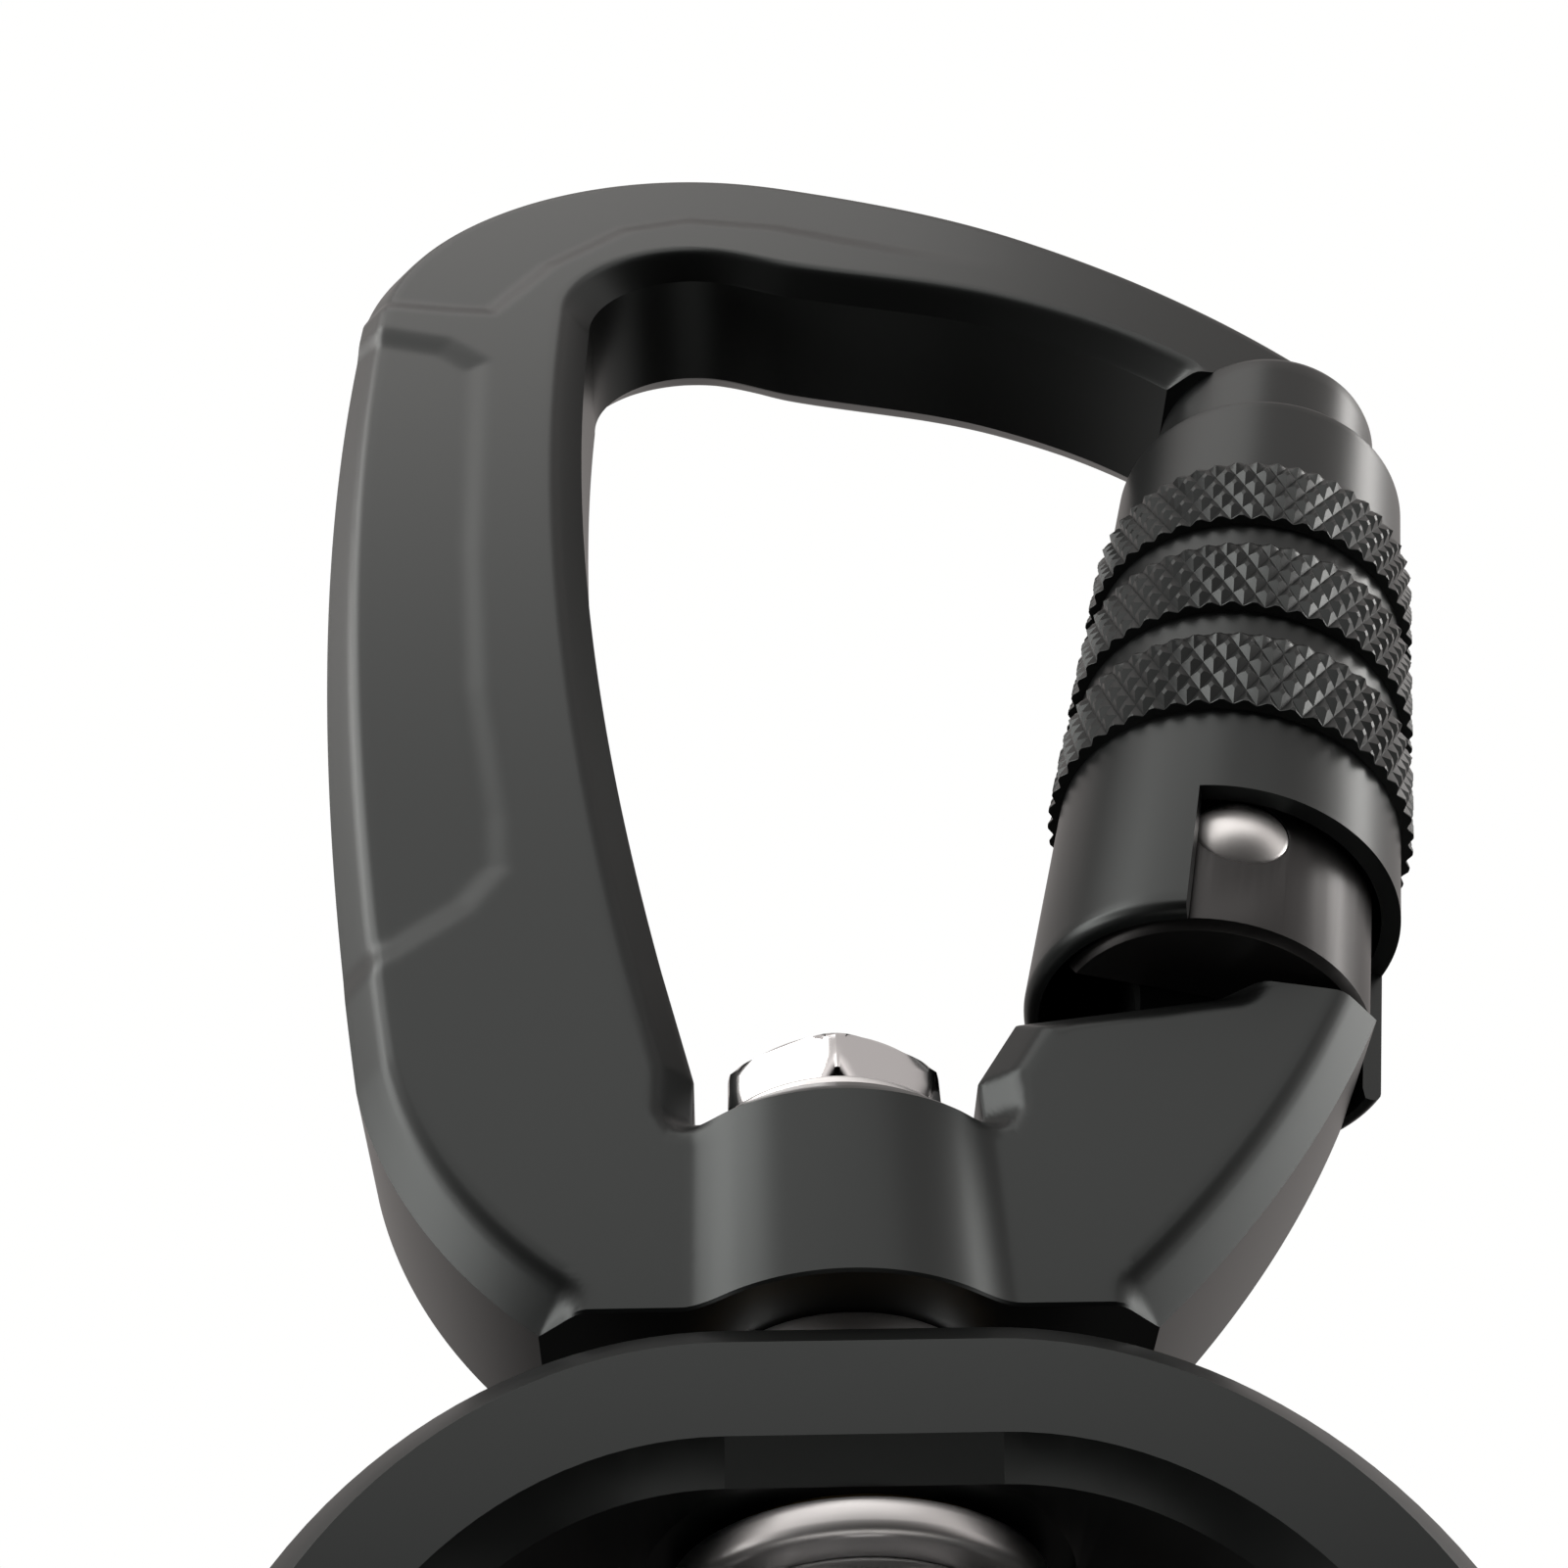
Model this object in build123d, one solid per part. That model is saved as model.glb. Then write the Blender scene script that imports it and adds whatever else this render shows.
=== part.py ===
from build123d import *
import os
from math import cos, radians, sin

# Auto-locking swivel carabiner, in millimetres.
# +Z runs up the swivel axis from the load eye to the carabiner, +X points to the gate,
# -Y is the front. The origin is the anchor basket: the point on the underside of the
# top bar where the swivel axis crosses it.

# ---- frame: the forged bar ----
bar_thickness = 11.5
bar_chamfer = 1.7
crown_left = 30.4          # swivel axis to the outside of the spine
crown_radius = 22.9
crown_top = 18.4           # basket to the top of the bar
crown_end_angle = 20.0     # where the crown arc turns into the shoulder arc
spine_bar_width = 16.0     # spine width at the basket
spine_bulge = 1.9          # how far the spine bows outward between its ends
inner_bulge = 2.2
basket_left = 7.0          # highest point of the basket, left of the swivel axis
basket_rise = 2.5
basket_radius = 8.0
basket_mid_x = 14.6        # a point of the top bar's underside, on its way down to the nose
basket_mid_drop = 4.7
base_depth = 85.9          # basket to the underside of the base
base_half_width = 12.4
base_corner_rise = 12.4    # height of the bend where the base turns into the spine
base_corner_x = 21.3
base_bulge = 1.2
arm_bulge = 0.8            # the hinge arm's outer edge is almost straight
panel_depth = 0.55         # shallow panels beside the raised rib, front and back

# ---- swivel boss and head seat ----
boss_radius = 8.3
boss_height = 10.4
boss_chamfer = 1.4
seat_half_width = 6.35

# ---- gate, hinge and nose ----
hinge_x = 20.2
hinge_rise = 25.1          # underside of the base to the hinge
nose_drop = 22.8           # basket to the sleeve's top rim, where the gate closes
gate_lean = 14.8           # degrees the gate leans outward from the swivel axis
tongue_thickness = 5.0
tongue_half_width = 4.8
tongue_waist = 1.2         # narrowing of the tongue's inner side
tongue_top = 4.6           # hinge centre to the flat cam on top of the tongue
shoulder_drop = 8.0        # hinge centre to the full-thickness shoulder
shoulder_slope = 25.5      # slope that lets the sleeve swing over the arm
arm_reach = 9.0
nose_radius = 7.2
nose_length = 9.4
nose_chamfer = 0.8
nose_gap = 0.4             # swinging sleeve rim to nose
latch_thickness = 4.0
latch_half_width = 3.0
latch_depth = 6.0          # how far the latch tongue reaches into the barrel

# ---- sleeve and barrel ----
sleeve_radius = 9.0
knurl_height = 0.65
sleeve_bore = 8.05
sleeve_bottom = 7.0        # hinge centre down to the bottom rim
sleeve_edge = 0.6
band_length_share = 0.163  # these shares are of the sleeve's length above the hinge
band_pitch_share = 0.219
band_count = 3
band_lowest_share = 0.193  # hinge centre to the lower edge of the lowest band
cutaway_top = 1.6          # hinge centre to the upper edge of the rivet cutaway
cutaway_start = -15.0      # degrees from the front, positive toward the gate side
cutaway_end = 104.0
window_start = 98.0        # the latch window at the back of the top rim
window_end = 196.0
window_margin = 1.9        # window below the latch tongue
barrel_clearance = 0.35
barrel_short = 0.8         # barrel top below the sleeve rim
slot_clearance = 0.35
ear_drop = 6.8             # hinge centre to the flat end of the ears
ear_chamfer = 0.4
spring_groove = 1.25
groove_low_share = 0.267
groove_high_share = 0.674
sleeve_wire = 0.75
sleeve_coils = 7

# ---- hinge rivet, plunger and gate spring ----
rivet_radius = 2.0
rivet_head_radius = 2.3
rivet_head_depth = 1.2
rivet_play = 0.05
rivet_setback = 0.45       # rivet ends below the barrel's surface
plunger_radius = 2.0
plunger_play = 0.05
plunger_share = 0.178
plunger_neck = 1.1
plunger_neck_length = 4.0
plunger_gap = 0.15
gate_wire = 0.55
gate_spring_coils = 7
gate_spring_share = 0.2545
guide_radius = 0.8
guide_length = 2.4
guide_share = 0.748
ring_wire = 0.7
ring_share = 0.837

# ---- swivel bolt stack ----
head_across_flats = 9.7
head_height = 3.5
head_chamfer = 0.5
shank_radius = 4.0
bore_play = 0.05
head_washer_radius = 6.0
head_washer_thickness = 1.2
collar_radius = 5.7
collar_thickness = 1.4
spacer_wall = 1.0
washer_radius = 7.3
washer_thickness = 1.5
small_ring_radius = 5.0
small_ring_thickness = 0.8
nut_across_flats = 13.0
nut_height = 5.2
insert_height = 1.6
insert_wall = 1.3
thread_end = 1.6

# ---- load eye ----
eye_thickness = 16.6
eye_half_width = 23.1
eye_top_bar = 6.4
eye_side_bar = 5.6
eye_foot_bar = 7.2
eye_opening = 26.0
eye_corner = 12.5
eye_chamfer = 1.3
eye_gap = 0.35             # eye to the washers above and below it
recess_radius = 8.3
bush_wall = 1.0
bush_flange = 0.8
bush_flange_radius = 6.4
bush_play = 0.08
bush_split = 0.4

base_z = -base_depth
boss_top = base_z + boss_height
half = bar_thickness / 2
hinge_z = hinge_rise - base_depth
sleeve_top = (base_depth - hinge_rise - nose_drop) / cos(radians(gate_lean))
band_length = band_length_share * sleeve_top
band_pitch = band_pitch_share * sleeve_top
band_lowest = band_lowest_share * sleeve_top
groove_low = groove_low_share * sleeve_top
groove_high = groove_high_share * sleeve_top
guide_height = guide_share * sleeve_top
ring_height = ring_share * sleeve_top
gate_frame = Plane(
    origin=(hinge_x, 0, hinge_z),
    x_dir=(cos(radians(gate_lean)), 0, -sin(radians(gate_lean))),
    z_dir=(sin(radians(gate_lean)), 0, cos(radians(gate_lean))),
)
front = Plane(origin=(0, 0, 0), x_dir=(1, 0, 0), z_dir=(0, -1, 0))
barrel_radius = sleeve_bore - barrel_clearance
barrel_top = sleeve_top - barrel_short
rim_sweep = ((sleeve_radius**2 + sleeve_top**2) ** 0.5) + nose_gap
nose_bottom = sleeve_top
nose_top = nose_bottom + nose_length
latch_bottom = barrel_top - latch_depth
plunger_rest = tongue_top + plunger_gap
tongue_sweep = (tongue_half_width**2 + tongue_top**2) ** 0.5 + slot_clearance
plunger_top = plunger_rest + plunger_share * sleeve_top
spring_seat = plunger_top + gate_spring_share * sleeve_top


def gate_point(across, along):
    """A point of the gate's own plane, as X and Z of the whole object."""
    lean = radians(gate_lean)
    x = hinge_x + across * cos(lean) + along * sin(lean)
    z = hinge_z - across * sin(lean) + along * cos(lean)
    return (x, z)


def arc_with_bulge(start, end, bulge):
    """An arc between two points that bows to the left of the way from start to end."""
    dx = end[0] - start[0]
    dz = end[1] - start[1]
    length = (dx**2 + dz**2) ** 0.5
    middle_x = (start[0] + end[0]) / 2 - bulge * dz / length
    middle_z = (start[1] + end[1]) / 2 + bulge * dx / length
    return ThreePointArc(start, (middle_x, middle_z), end)


def placed(shape):
    """A shape drawn along the gate axis, put where the gate is."""
    return gate_frame.location * shape


def tube(outer, inner, bottom, top):
    """A plain ring or tube on the Z axis."""
    body = Cylinder(outer, top - bottom, align=(Align.CENTER, Align.CENTER, Align.MIN))
    hole = Cylinder(inner, top - bottom, align=(Align.CENTER, Align.CENTER, Align.MIN))
    return Pos(0, 0, bottom) * (body - hole)


def rod(radius, bottom, top):
    """A solid cylinder on the Z axis."""
    return Pos(0, 0, bottom) * Cylinder(radius, top - bottom, align=(Align.CENTER, Align.CENTER, Align.MIN))


def round_rims(shape, size):
    """A ring with its two outer rims rounded."""
    rims = shape.edges().filter_by(GeomType.CIRCLE).sort_by(SortBy.LENGTH)[-2:]
    return fillet(rims, size)


def slab(x_low, x_high, y_half, z_low, z_high):
    """A block centred on Y."""
    block = Box(x_high - x_low, 2 * y_half, z_high - z_low)
    return Pos((x_low + x_high) / 2, 0, (z_low + z_high) / 2) * block


def sector(start, end, radius, bottom, top):
    """A wedge round the Z axis; angles run from the front toward +X."""
    steps = 8
    points = [(0, 0)]
    for step in range(steps + 1):
        angle = radians(start + (end - start) * step / steps)
        points.append((2 * radius * sin(angle), -2 * radius * cos(angle)))
    return Pos(0, 0, bottom) * extrude(make_face(Polyline(*points, close=True)), top - bottom)


def frame_outline():
    """The C-shaped outline of the forged bar, in X and Z, from the base round to the hinge."""
    turn = radians(crown_end_angle)
    crown_x = crown_radius - crown_left
    crown_z = crown_top - crown_radius
    foot_left = (-base_half_width, base_z)
    spine_low = (-base_corner_x, base_z + base_corner_rise)
    spine_high = (-crown_left, crown_z)
    crown_end = (crown_x + crown_radius * sin(turn), crown_z + crown_radius * cos(turn))
    nose_outer = gate_point(nose_radius - 1.5, nose_top - 0.9)
    nose_inner = gate_point(-nose_radius, nose_top - nose_length / 7)
    basket_high = (-basket_left, basket_rise)
    basket_mid = (basket_mid_x, -basket_mid_drop)
    inner_x = -crown_left + spine_bar_width
    inner_high = (inner_x, basket_rise - basket_radius)
    seat_left = (-seat_half_width, boss_top)
    seat_lip = (-seat_half_width, boss_top + head_washer_thickness + head_height / 3)
    arm_end = gate_point(-arm_reach, -shoulder_drop - arm_reach * sin(radians(shoulder_slope)))
    seat_right = (seat_half_width, boss_top)
    seat_right_lip = (seat_half_width, boss_top + head_washer_thickness + head_height / 4)
    shoulder_mid = gate_point(0, -shoulder_drop)
    shoulder_end = gate_point(nose_radius, -shoulder_drop + 0.5)
    foot_right = (base_half_width, base_z)
    corner = (-1 / 2**0.5, 1 / 2**0.5)
    crown_mid = (crown_x + crown_radius * corner[0], crown_z + crown_radius * corner[1])
    outline = [
        arc_with_bulge(foot_left, spine_low, base_bulge),
        arc_with_bulge(spine_low, spine_high, spine_bulge),
        ThreePointArc(spine_high, crown_mid, crown_end),
        TangentArc(crown_end, nose_outer, tangent=(cos(turn), -sin(turn))),
        Line(nose_outer, nose_inner),
        Spline(nose_inner, basket_mid, (0, 0), basket_high, tangents=((-0.62, 0.78), (-1, 0))),
        TangentArc(basket_high, inner_high, tangent=(-1, 0)),
        arc_with_bulge(inner_high, seat_lip, -inner_bulge),
        Line(seat_lip, seat_left),
        Line(seat_left, seat_right),
        Line(seat_right, seat_right_lip),
        Line(seat_right_lip, arm_end),
        Line(arm_end, shoulder_mid),
        Line(shoulder_mid, shoulder_end),
        arc_with_bulge(shoulder_end, foot_right, arm_bulge),
        Line(foot_right, foot_left),
    ]
    return make_face(outline)


def hinge_tongue():
    """Flat tongue between the barrel's ears, narrowed low on the inside so the open sleeve clears it."""
    root = -shoulder_drop - 5
    inner_root = -tongue_half_width + tongue_waist
    profile = Polyline(
        (-tongue_half_width, tongue_top), (tongue_half_width, tongue_top), (tongue_half_width, root),
        (inner_root, root), (inner_root, -shoulder_drop), (-tongue_half_width, -rivet_radius), close=True)
    tongue = extrude(front * make_face(profile), tongue_thickness / 2, both=True)
    return fillet(tongue.edges().filter_by(Axis.Y).group_by(Axis.Z)[-1], 1.0)


def panel_shapes():
    """The two shallow panels outside the raised rib: over the crown and down the spine."""
    crown_x = crown_radius - crown_left
    crown_panel = Polyline(
        (-crown_left - 4, crown_top - 21.2), (-24.2, -4.6), (-21.2, -4.9), (-17.6, 2.0), (-12.4, 7.7),
        (crown_x, 9.3), (-1, 8.2), (8, 4.2), (15.5, 1.5), (22, crown_top), (crown_x, crown_top + 6),
        (-crown_left - 4, crown_top + 6), close=True)
    spine_panel = Polyline(
        (-crown_left - 4, -6.6), (-24.0, -9.8), (-21.4, -12.4), (-19.8, -34.0), (-18.3, -47.0),
        (-16.4, -57.0), (-16.0, -60.8), (-17.4, -63.4), (-20.6, -66.4), (-crown_left - 4, -72.0),
        close=True)
    return [make_face(crown_panel), make_face(spine_panel)]


def carabiner_frame():
    """The forged bar with its swivel boss, cylindrical nose, latch tongue and hinge tongue."""
    plate = Pos(0, half, 0) * extrude(front * frame_outline(), bar_thickness)
    face_edges = plate.edges().group_by(Axis.Y)
    rim = [edge for edge in face_edges[0] + face_edges[-1] if edge.center().Z > base_z + 0.1]
    body = chamfer(rim, bar_chamfer)
    for flat in panel_shapes():
        for side in (-1, 1):
            tool = extrude(front * flat, 2, both=True)
            body -= Pos(0, side * (half + 2 - panel_depth), 0) * tool
    boss = rod(boss_radius, base_z, boss_top)
    boss = chamfer(boss.edges().group_by(Axis.Z)[-1], boss_chamfer)
    body += boss
    body -= slab(-seat_half_width, seat_half_width, 2 * boss_radius, boss_top, boss_top + head_height)
    nose = rod(nose_radius, nose_bottom, nose_top)
    nose = chamfer(nose.edges().group_by(Axis.Z)[-1], nose_chamfer)
    nose -= Rot(90, 0, 0) * Cylinder(rim_sweep, 60)
    latch = slab(-latch_half_width, latch_half_width, latch_thickness / 2, latch_bottom, nose_bottom + 2)
    latch = chamfer(latch.edges().group_by(Axis.Z)[0], 0.6)
    body -= placed(slab(-14, 14, 20, 9, nose_bottom))
    body += placed(nose)
    body += placed(latch)
    body += placed(hinge_tongue())
    bore = Rot(90, 0, 0) * Cylinder(rivet_radius + rivet_play, 3 * tongue_thickness)
    body -= placed(bore)
    body -= rod(shank_radius + bore_play, base_z - 5, boss_top + 5)
    return body.solids().sort_by(SortBy.VOLUME)[-1]


def hexagon(across_flats, bottom, top):
    """A hexagonal prism with two flats facing the sides and a corner to the front."""
    face = RegularPolygon(across_flats / 2, 6, major_radius=False, rotation=30)
    return Pos(0, 0, bottom) * extrude(face, top - bottom)


def swivel_levels():
    """Z of each joint face down the bolt, from the head seat to the end of the nut."""
    head = boss_top + head_washer_thickness
    collar = base_z - collar_thickness
    eye_top = collar - eye_gap
    ceiling = eye_top - eye_top_bar
    washer = ceiling - eye_gap
    ring = washer - washer_thickness
    nut = ring - small_ring_thickness
    end = nut - nut_height
    return head, collar, eye_top, ceiling, washer, ring, nut, end


def swivel_bolt():
    """Hex head in the seat, plain shank, and a threaded end below the nut."""
    head_z, collar, eye_top, ceiling, washer, ring, nut, end = swivel_levels()
    head = hexagon(head_across_flats, head_z, head_z + head_height)
    dome = rod(head_across_flats / 2 + 0.5, head_z, head_z + head_height)
    head &= chamfer(dome.edges().group_by(Axis.Z)[-1], head_chamfer)
    shank = rod(shank_radius, end - thread_end, head_z + 1)
    shank = chamfer(shank.edges().group_by(Axis.Z)[0], 0.8)
    return head + shank


def head_washer():
    """Thin washer face under the bolt head."""
    ring = tube(head_washer_radius, shank_radius + bore_play, boss_top, boss_top + head_washer_thickness)
    return round_rims(ring, 0.3)


def thrust_collar():
    """Silver collar that the eye turns under."""
    head_z, collar, eye_top, ceiling, washer, ring, nut, end = swivel_levels()
    ring_body = tube(collar_radius, shank_radius + bore_play, collar, base_z)
    return round_rims(ring_body, 0.3)


def spacer_sleeve():
    """Hard sleeve that takes the nut's clamping load, so the eye stays free."""
    head_z, collar, eye_top, ceiling, washer, ring, nut, end = swivel_levels()
    return tube(shank_radius + bore_play + spacer_wall, shank_radius + bore_play, washer, collar)


def lower_washer():
    """Bright washer under the eye's top bar."""
    head_z, collar, eye_top, ceiling, washer, ring, nut, end = swivel_levels()
    plate = tube(washer_radius, shank_radius + bore_play, ring, washer)
    return round_rims(plate, 0.35)


def nut_ring():
    """Small ring between the washer and the nut."""
    head_z, collar, eye_top, ceiling, washer, ring, nut, end = swivel_levels()
    return tube(small_ring_radius + 0.6, shank_radius + bore_play, nut, ring)


def swivel_nut():
    """Lock nut with a turned end that holds the locking insert."""
    head_z, collar, eye_top, ceiling, washer, ring, nut, end = swivel_levels()
    body = hexagon(nut_across_flats, end, nut)
    round_body = rod(nut_across_flats / 2 + 0.6, end, nut)
    body &= chamfer(round_body.edges(), 0.6)
    body -= rod(shank_radius + bore_play, end - 1, nut + 1)
    body -= rod(shank_radius + insert_wall, end - 1, end + insert_height)
    return body


def nut_insert():
    """Locking ring pressed into the outer end of the nut."""
    head_z, collar, eye_top, ceiling, washer, ring, nut, end = swivel_levels()
    return tube(shank_radius + insert_wall, shank_radius + bore_play, end + 0.2, end + insert_height)


def load_eye():
    """Racetrack eye that turns on the bolt, with a bore and a shallow recess for the washer."""
    head_z, collar, eye_top, ceiling, washer, ring, nut, end = swivel_levels()
    height = eye_top_bar + eye_opening + eye_foot_bar
    outer = RectangleRounded(2 * eye_half_width, height, eye_corner + eye_side_bar)
    inner = RectangleRounded(2 * (eye_half_width - eye_side_bar), eye_opening, eye_corner)
    shift = (eye_foot_bar - eye_top_bar) / 2
    ring_face = outer - Pos(0, shift) * inner
    body = extrude(front * ring_face, eye_thickness / 2, both=True)
    body = chamfer(body.edges().group_by(Axis.Y)[0] + body.edges().group_by(Axis.Y)[-1], eye_chamfer)
    body = Pos(0, 0, eye_top - height / 2) * body
    body -= rod(recess_radius, ceiling - 3, ceiling)
    body -= rod(bush_bore_radius(), ceiling - 5, eye_top + 5)
    body -= rod(bush_flange_radius + 0.1, eye_top - bush_flange, eye_top + 5)
    body -= rod(bush_flange_radius + 0.1, ceiling - 5, ceiling + bush_flange)
    return body


def bush_bore_radius():
    """Outside radius of the bushes, which is the eye's bore."""
    return shank_radius + bore_play + spacer_wall + bush_play + bush_wall


def eye_bush(upper):
    """Flanged bush pressed into one end of the eye's bore."""
    head_z, collar, eye_top, ceiling, washer, ring, nut, end = swivel_levels()
    middle = (eye_top + ceiling) / 2
    inner = bush_bore_radius() - bush_wall
    if upper:
        body = tube(bush_bore_radius(), inner, middle + bush_split / 2, eye_top)
        return body + tube(bush_flange_radius, inner, eye_top - bush_flange, eye_top)
    body = tube(bush_bore_radius(), inner, ceiling, middle - bush_split / 2)
    return body + tube(bush_flange_radius, inner, ceiling, ceiling + bush_flange)


def gate_barrel():
    """The gate's core: ears at the hinge, a spring groove, a plunger bore and the latch slot."""
    body = rod(barrel_radius, -ear_drop, barrel_top)
    body = chamfer(body.edges().group_by(Axis.Z)[-1], 0.5)
    body = chamfer(body.edges().group_by(Axis.Z)[0], ear_chamfer)
    body -= slab(-20, 20, tongue_thickness / 2 + slot_clearance, -20, tongue_sweep)
    body -= tube(barrel_radius + 2, barrel_radius - spring_groove, groove_low, groove_high)
    body -= rod(plunger_radius + plunger_play, 0, spring_seat)
    slot_bottom = latch_bottom - slot_clearance
    slot_half = latch_thickness / 2 + slot_clearance
    slot = slab(-latch_half_width - slot_clearance, 20, slot_half, slot_bottom - 5, barrel_top + 5)
    body -= slot - Rot(90, 0, 0) * Cylinder(slot_bottom, 60)
    body -= Rot(90, 0, 0) * Cylinder(rivet_radius, 40)
    head_bore = Rot(90, 0, 0) * Cylinder(rivet_head_radius, rivet_head_depth)
    for side in (-1, 1):
        body -= Pos(0, side * (barrel_radius - rivet_head_depth / 2), 0) * head_bore
    pin_hole = Rot(90, 0, 0) * Cylinder(guide_radius, guide_length + 2)
    body -= Pos(0, -barrel_radius + spring_groove - 1, guide_height) * pin_hole
    body -= ring_groove()
    return body


def ring_groove():
    """Groove for the retaining ring near the barrel's top, clear of the latch slot's mouth."""
    half_wire = ring_wire / 2
    return tube(barrel_radius + 1, barrel_radius - ring_wire, ring_height - half_wire, ring_height + half_wire)


def gate_rivet():
    """Hinge pin through the ears and the tongue, headed at both ends, flush with the barrel."""
    length = 2 * (barrel_radius - rivet_setback)
    head_depth = rivet_head_depth - rivet_setback
    pin = Rot(90, 0, 0) * Cylinder(rivet_radius, length)
    head = Rot(90, 0, 0) * Cylinder(rivet_head_radius, head_depth)
    for side in (-1, 1):
        pin += Pos(0, side * (length - head_depth) / 2, 0) * head
    return pin


def gate_plunger():
    """Plunger that presses on the tongue and carries the gate spring on its neck."""
    body = rod(plunger_radius, plunger_rest, plunger_top)
    body = fillet(body.edges().group_by(Axis.Z)[0], 0.6)
    return body + rod(plunger_neck, plunger_top - 1, plunger_top + plunger_neck_length)


def coil(mean_radius, wire, coils, bottom, top):
    """A coil spring: round wire swept along a helix on the Z axis."""
    rise = top - bottom - 2 * wire / 2
    path = Pos(0, 0, bottom + wire / 2) * Helix(rise / coils, rise, mean_radius)
    start = path @ 0
    section = Plane(origin=start, z_dir=path % 0) * Circle(wire / 2)
    return sweep(section, path, is_frenet=True)


def locking_sleeve():
    """Outer sleeve: three knurled bands, a cutaway round the rivet and a window for the latch."""
    body = rod(sleeve_radius, -sleeve_bottom, sleeve_top)
    body = fillet(body.edges().group_by(Axis.Z)[-1] + body.edges().group_by(Axis.Z)[0], sleeve_edge)
    for band in range(band_count):
        low = band_lowest + band * band_pitch
        ring = rod(sleeve_radius + knurl_height, low, low + band_length)
        ring = chamfer(ring.edges().group_by(Axis.Z)[-1], knurl_height - 0.05)
        body += ring
    body -= rod(sleeve_bore, -sleeve_bottom - 5, sleeve_top + 5)
    body -= sector(cutaway_start, cutaway_end, sleeve_radius, -sleeve_bottom - 5, cutaway_top)
    window_low = latch_bottom - window_margin
    body -= sector(window_start, window_end, sleeve_radius, window_low, sleeve_top + 5)
    return body


def retaining_ring():
    """Open wire ring in the barrel's groove that keeps the sleeve's bearing surface centred."""
    inner = barrel_radius - ring_wire + 0.02
    half_wire = ring_wire / 2 - 0.03
    ring = tube(barrel_radius - 0.02, inner, ring_height - half_wire, ring_height + half_wire)
    gap = slab(0, 20, latch_thickness / 2 + 1.2, ring_height - 3, ring_height + 3)
    return ring - gap


def guide_pin():
    """Small pin in the barrel that steadies the sleeve spring's upper end."""
    pin = Rot(90, 0, 0) * Cylinder(guide_radius, guide_length)
    body = Pos(0, -barrel_radius + spring_groove, guide_height) * pin
    return body & rod(barrel_radius - 0.02, guide_height - 5, guide_height + 5)


def save(name, shape):
    """Write one sub-part as its own STEP file."""
    shape.label = name
    export_step(shape, os.path.join("parts", name + ".step"))


os.makedirs("parts", exist_ok=True)
groove_radius = barrel_radius - spring_groove + sleeve_wire / 2 + 0.1
save("carabiner_frame", carabiner_frame())
save("swivel_bolt", swivel_bolt())
save("head_washer", head_washer())
save("thrust_collar", thrust_collar())
save("spacer_sleeve", spacer_sleeve())
save("lower_washer", lower_washer())
save("nut_ring", nut_ring())
save("swivel_nut", swivel_nut())
save("nut_insert", nut_insert())
save("load_eye", load_eye())
save("upper_eye_bush", eye_bush(True))
save("lower_eye_bush", eye_bush(False))
save("gate_barrel", placed(gate_barrel()))
save("gate_rivet", placed(gate_rivet()))
save("gate_plunger", placed(gate_plunger()))
gate_coil = coil(plunger_radius - gate_wire / 2 - 0.1, gate_wire, gate_spring_coils, plunger_top, spring_seat)
save("gate_spring", placed(gate_coil))
save("sleeve_spring", placed(coil(groove_radius, sleeve_wire, sleeve_coils, groove_low, groove_high)))
save("locking_sleeve", placed(locking_sleeve()))
save("retaining_ring", placed(retaining_ring()))
save("guide_pin", placed(guide_pin()))
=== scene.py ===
import math

import bpy
import numpy as np
from bpy.props import FloatProperty, FloatVectorProperty, IntProperty, PointerProperty
from bpy.types import Operator, Panel, PropertyGroup
from mathutils import Matrix, Vector


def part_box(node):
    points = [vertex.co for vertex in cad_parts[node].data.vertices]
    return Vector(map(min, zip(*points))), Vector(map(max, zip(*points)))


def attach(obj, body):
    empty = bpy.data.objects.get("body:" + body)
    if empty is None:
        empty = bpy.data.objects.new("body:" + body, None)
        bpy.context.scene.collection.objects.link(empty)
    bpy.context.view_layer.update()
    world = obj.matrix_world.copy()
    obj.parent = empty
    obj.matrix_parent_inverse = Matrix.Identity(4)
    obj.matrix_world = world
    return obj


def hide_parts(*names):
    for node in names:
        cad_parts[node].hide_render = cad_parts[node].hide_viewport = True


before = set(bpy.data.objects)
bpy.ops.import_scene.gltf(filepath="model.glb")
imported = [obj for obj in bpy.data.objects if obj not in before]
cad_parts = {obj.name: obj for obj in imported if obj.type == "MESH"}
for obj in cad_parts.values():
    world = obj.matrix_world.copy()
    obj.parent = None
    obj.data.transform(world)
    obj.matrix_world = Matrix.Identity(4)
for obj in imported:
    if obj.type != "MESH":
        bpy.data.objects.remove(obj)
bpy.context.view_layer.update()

bl_info = {
    "name": "Auto-locking swivel carabiner",
    "version": (1, 0, 0),
    "blender": (4, 5, 0),
    "location": "3D View > Sidebar > Carabiner",
    "description": "Builds the finished surfaces of a swivel carabiner over its CAD frame",
    "category": "Object",
}

WARM_WHITE = (1.0, 0.965, 0.94)


def length(name, words, default):
    """A size in metres with its name, meaning and default."""
    return FloatProperty(name=name, description=words, default=default, unit="LENGTH", precision=5)


def angle(name, words, degrees):
    """An angle, stored in radians, given in degrees."""
    return FloatProperty(name=name, description=words, default=math.radians(degrees), subtype="ANGLE")


def colour(name, words, default):
    """A linear colour."""
    return FloatVectorProperty(name=name, description=words, default=default, subtype="COLOR",
                               size=3, min=0, max=1)


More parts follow.
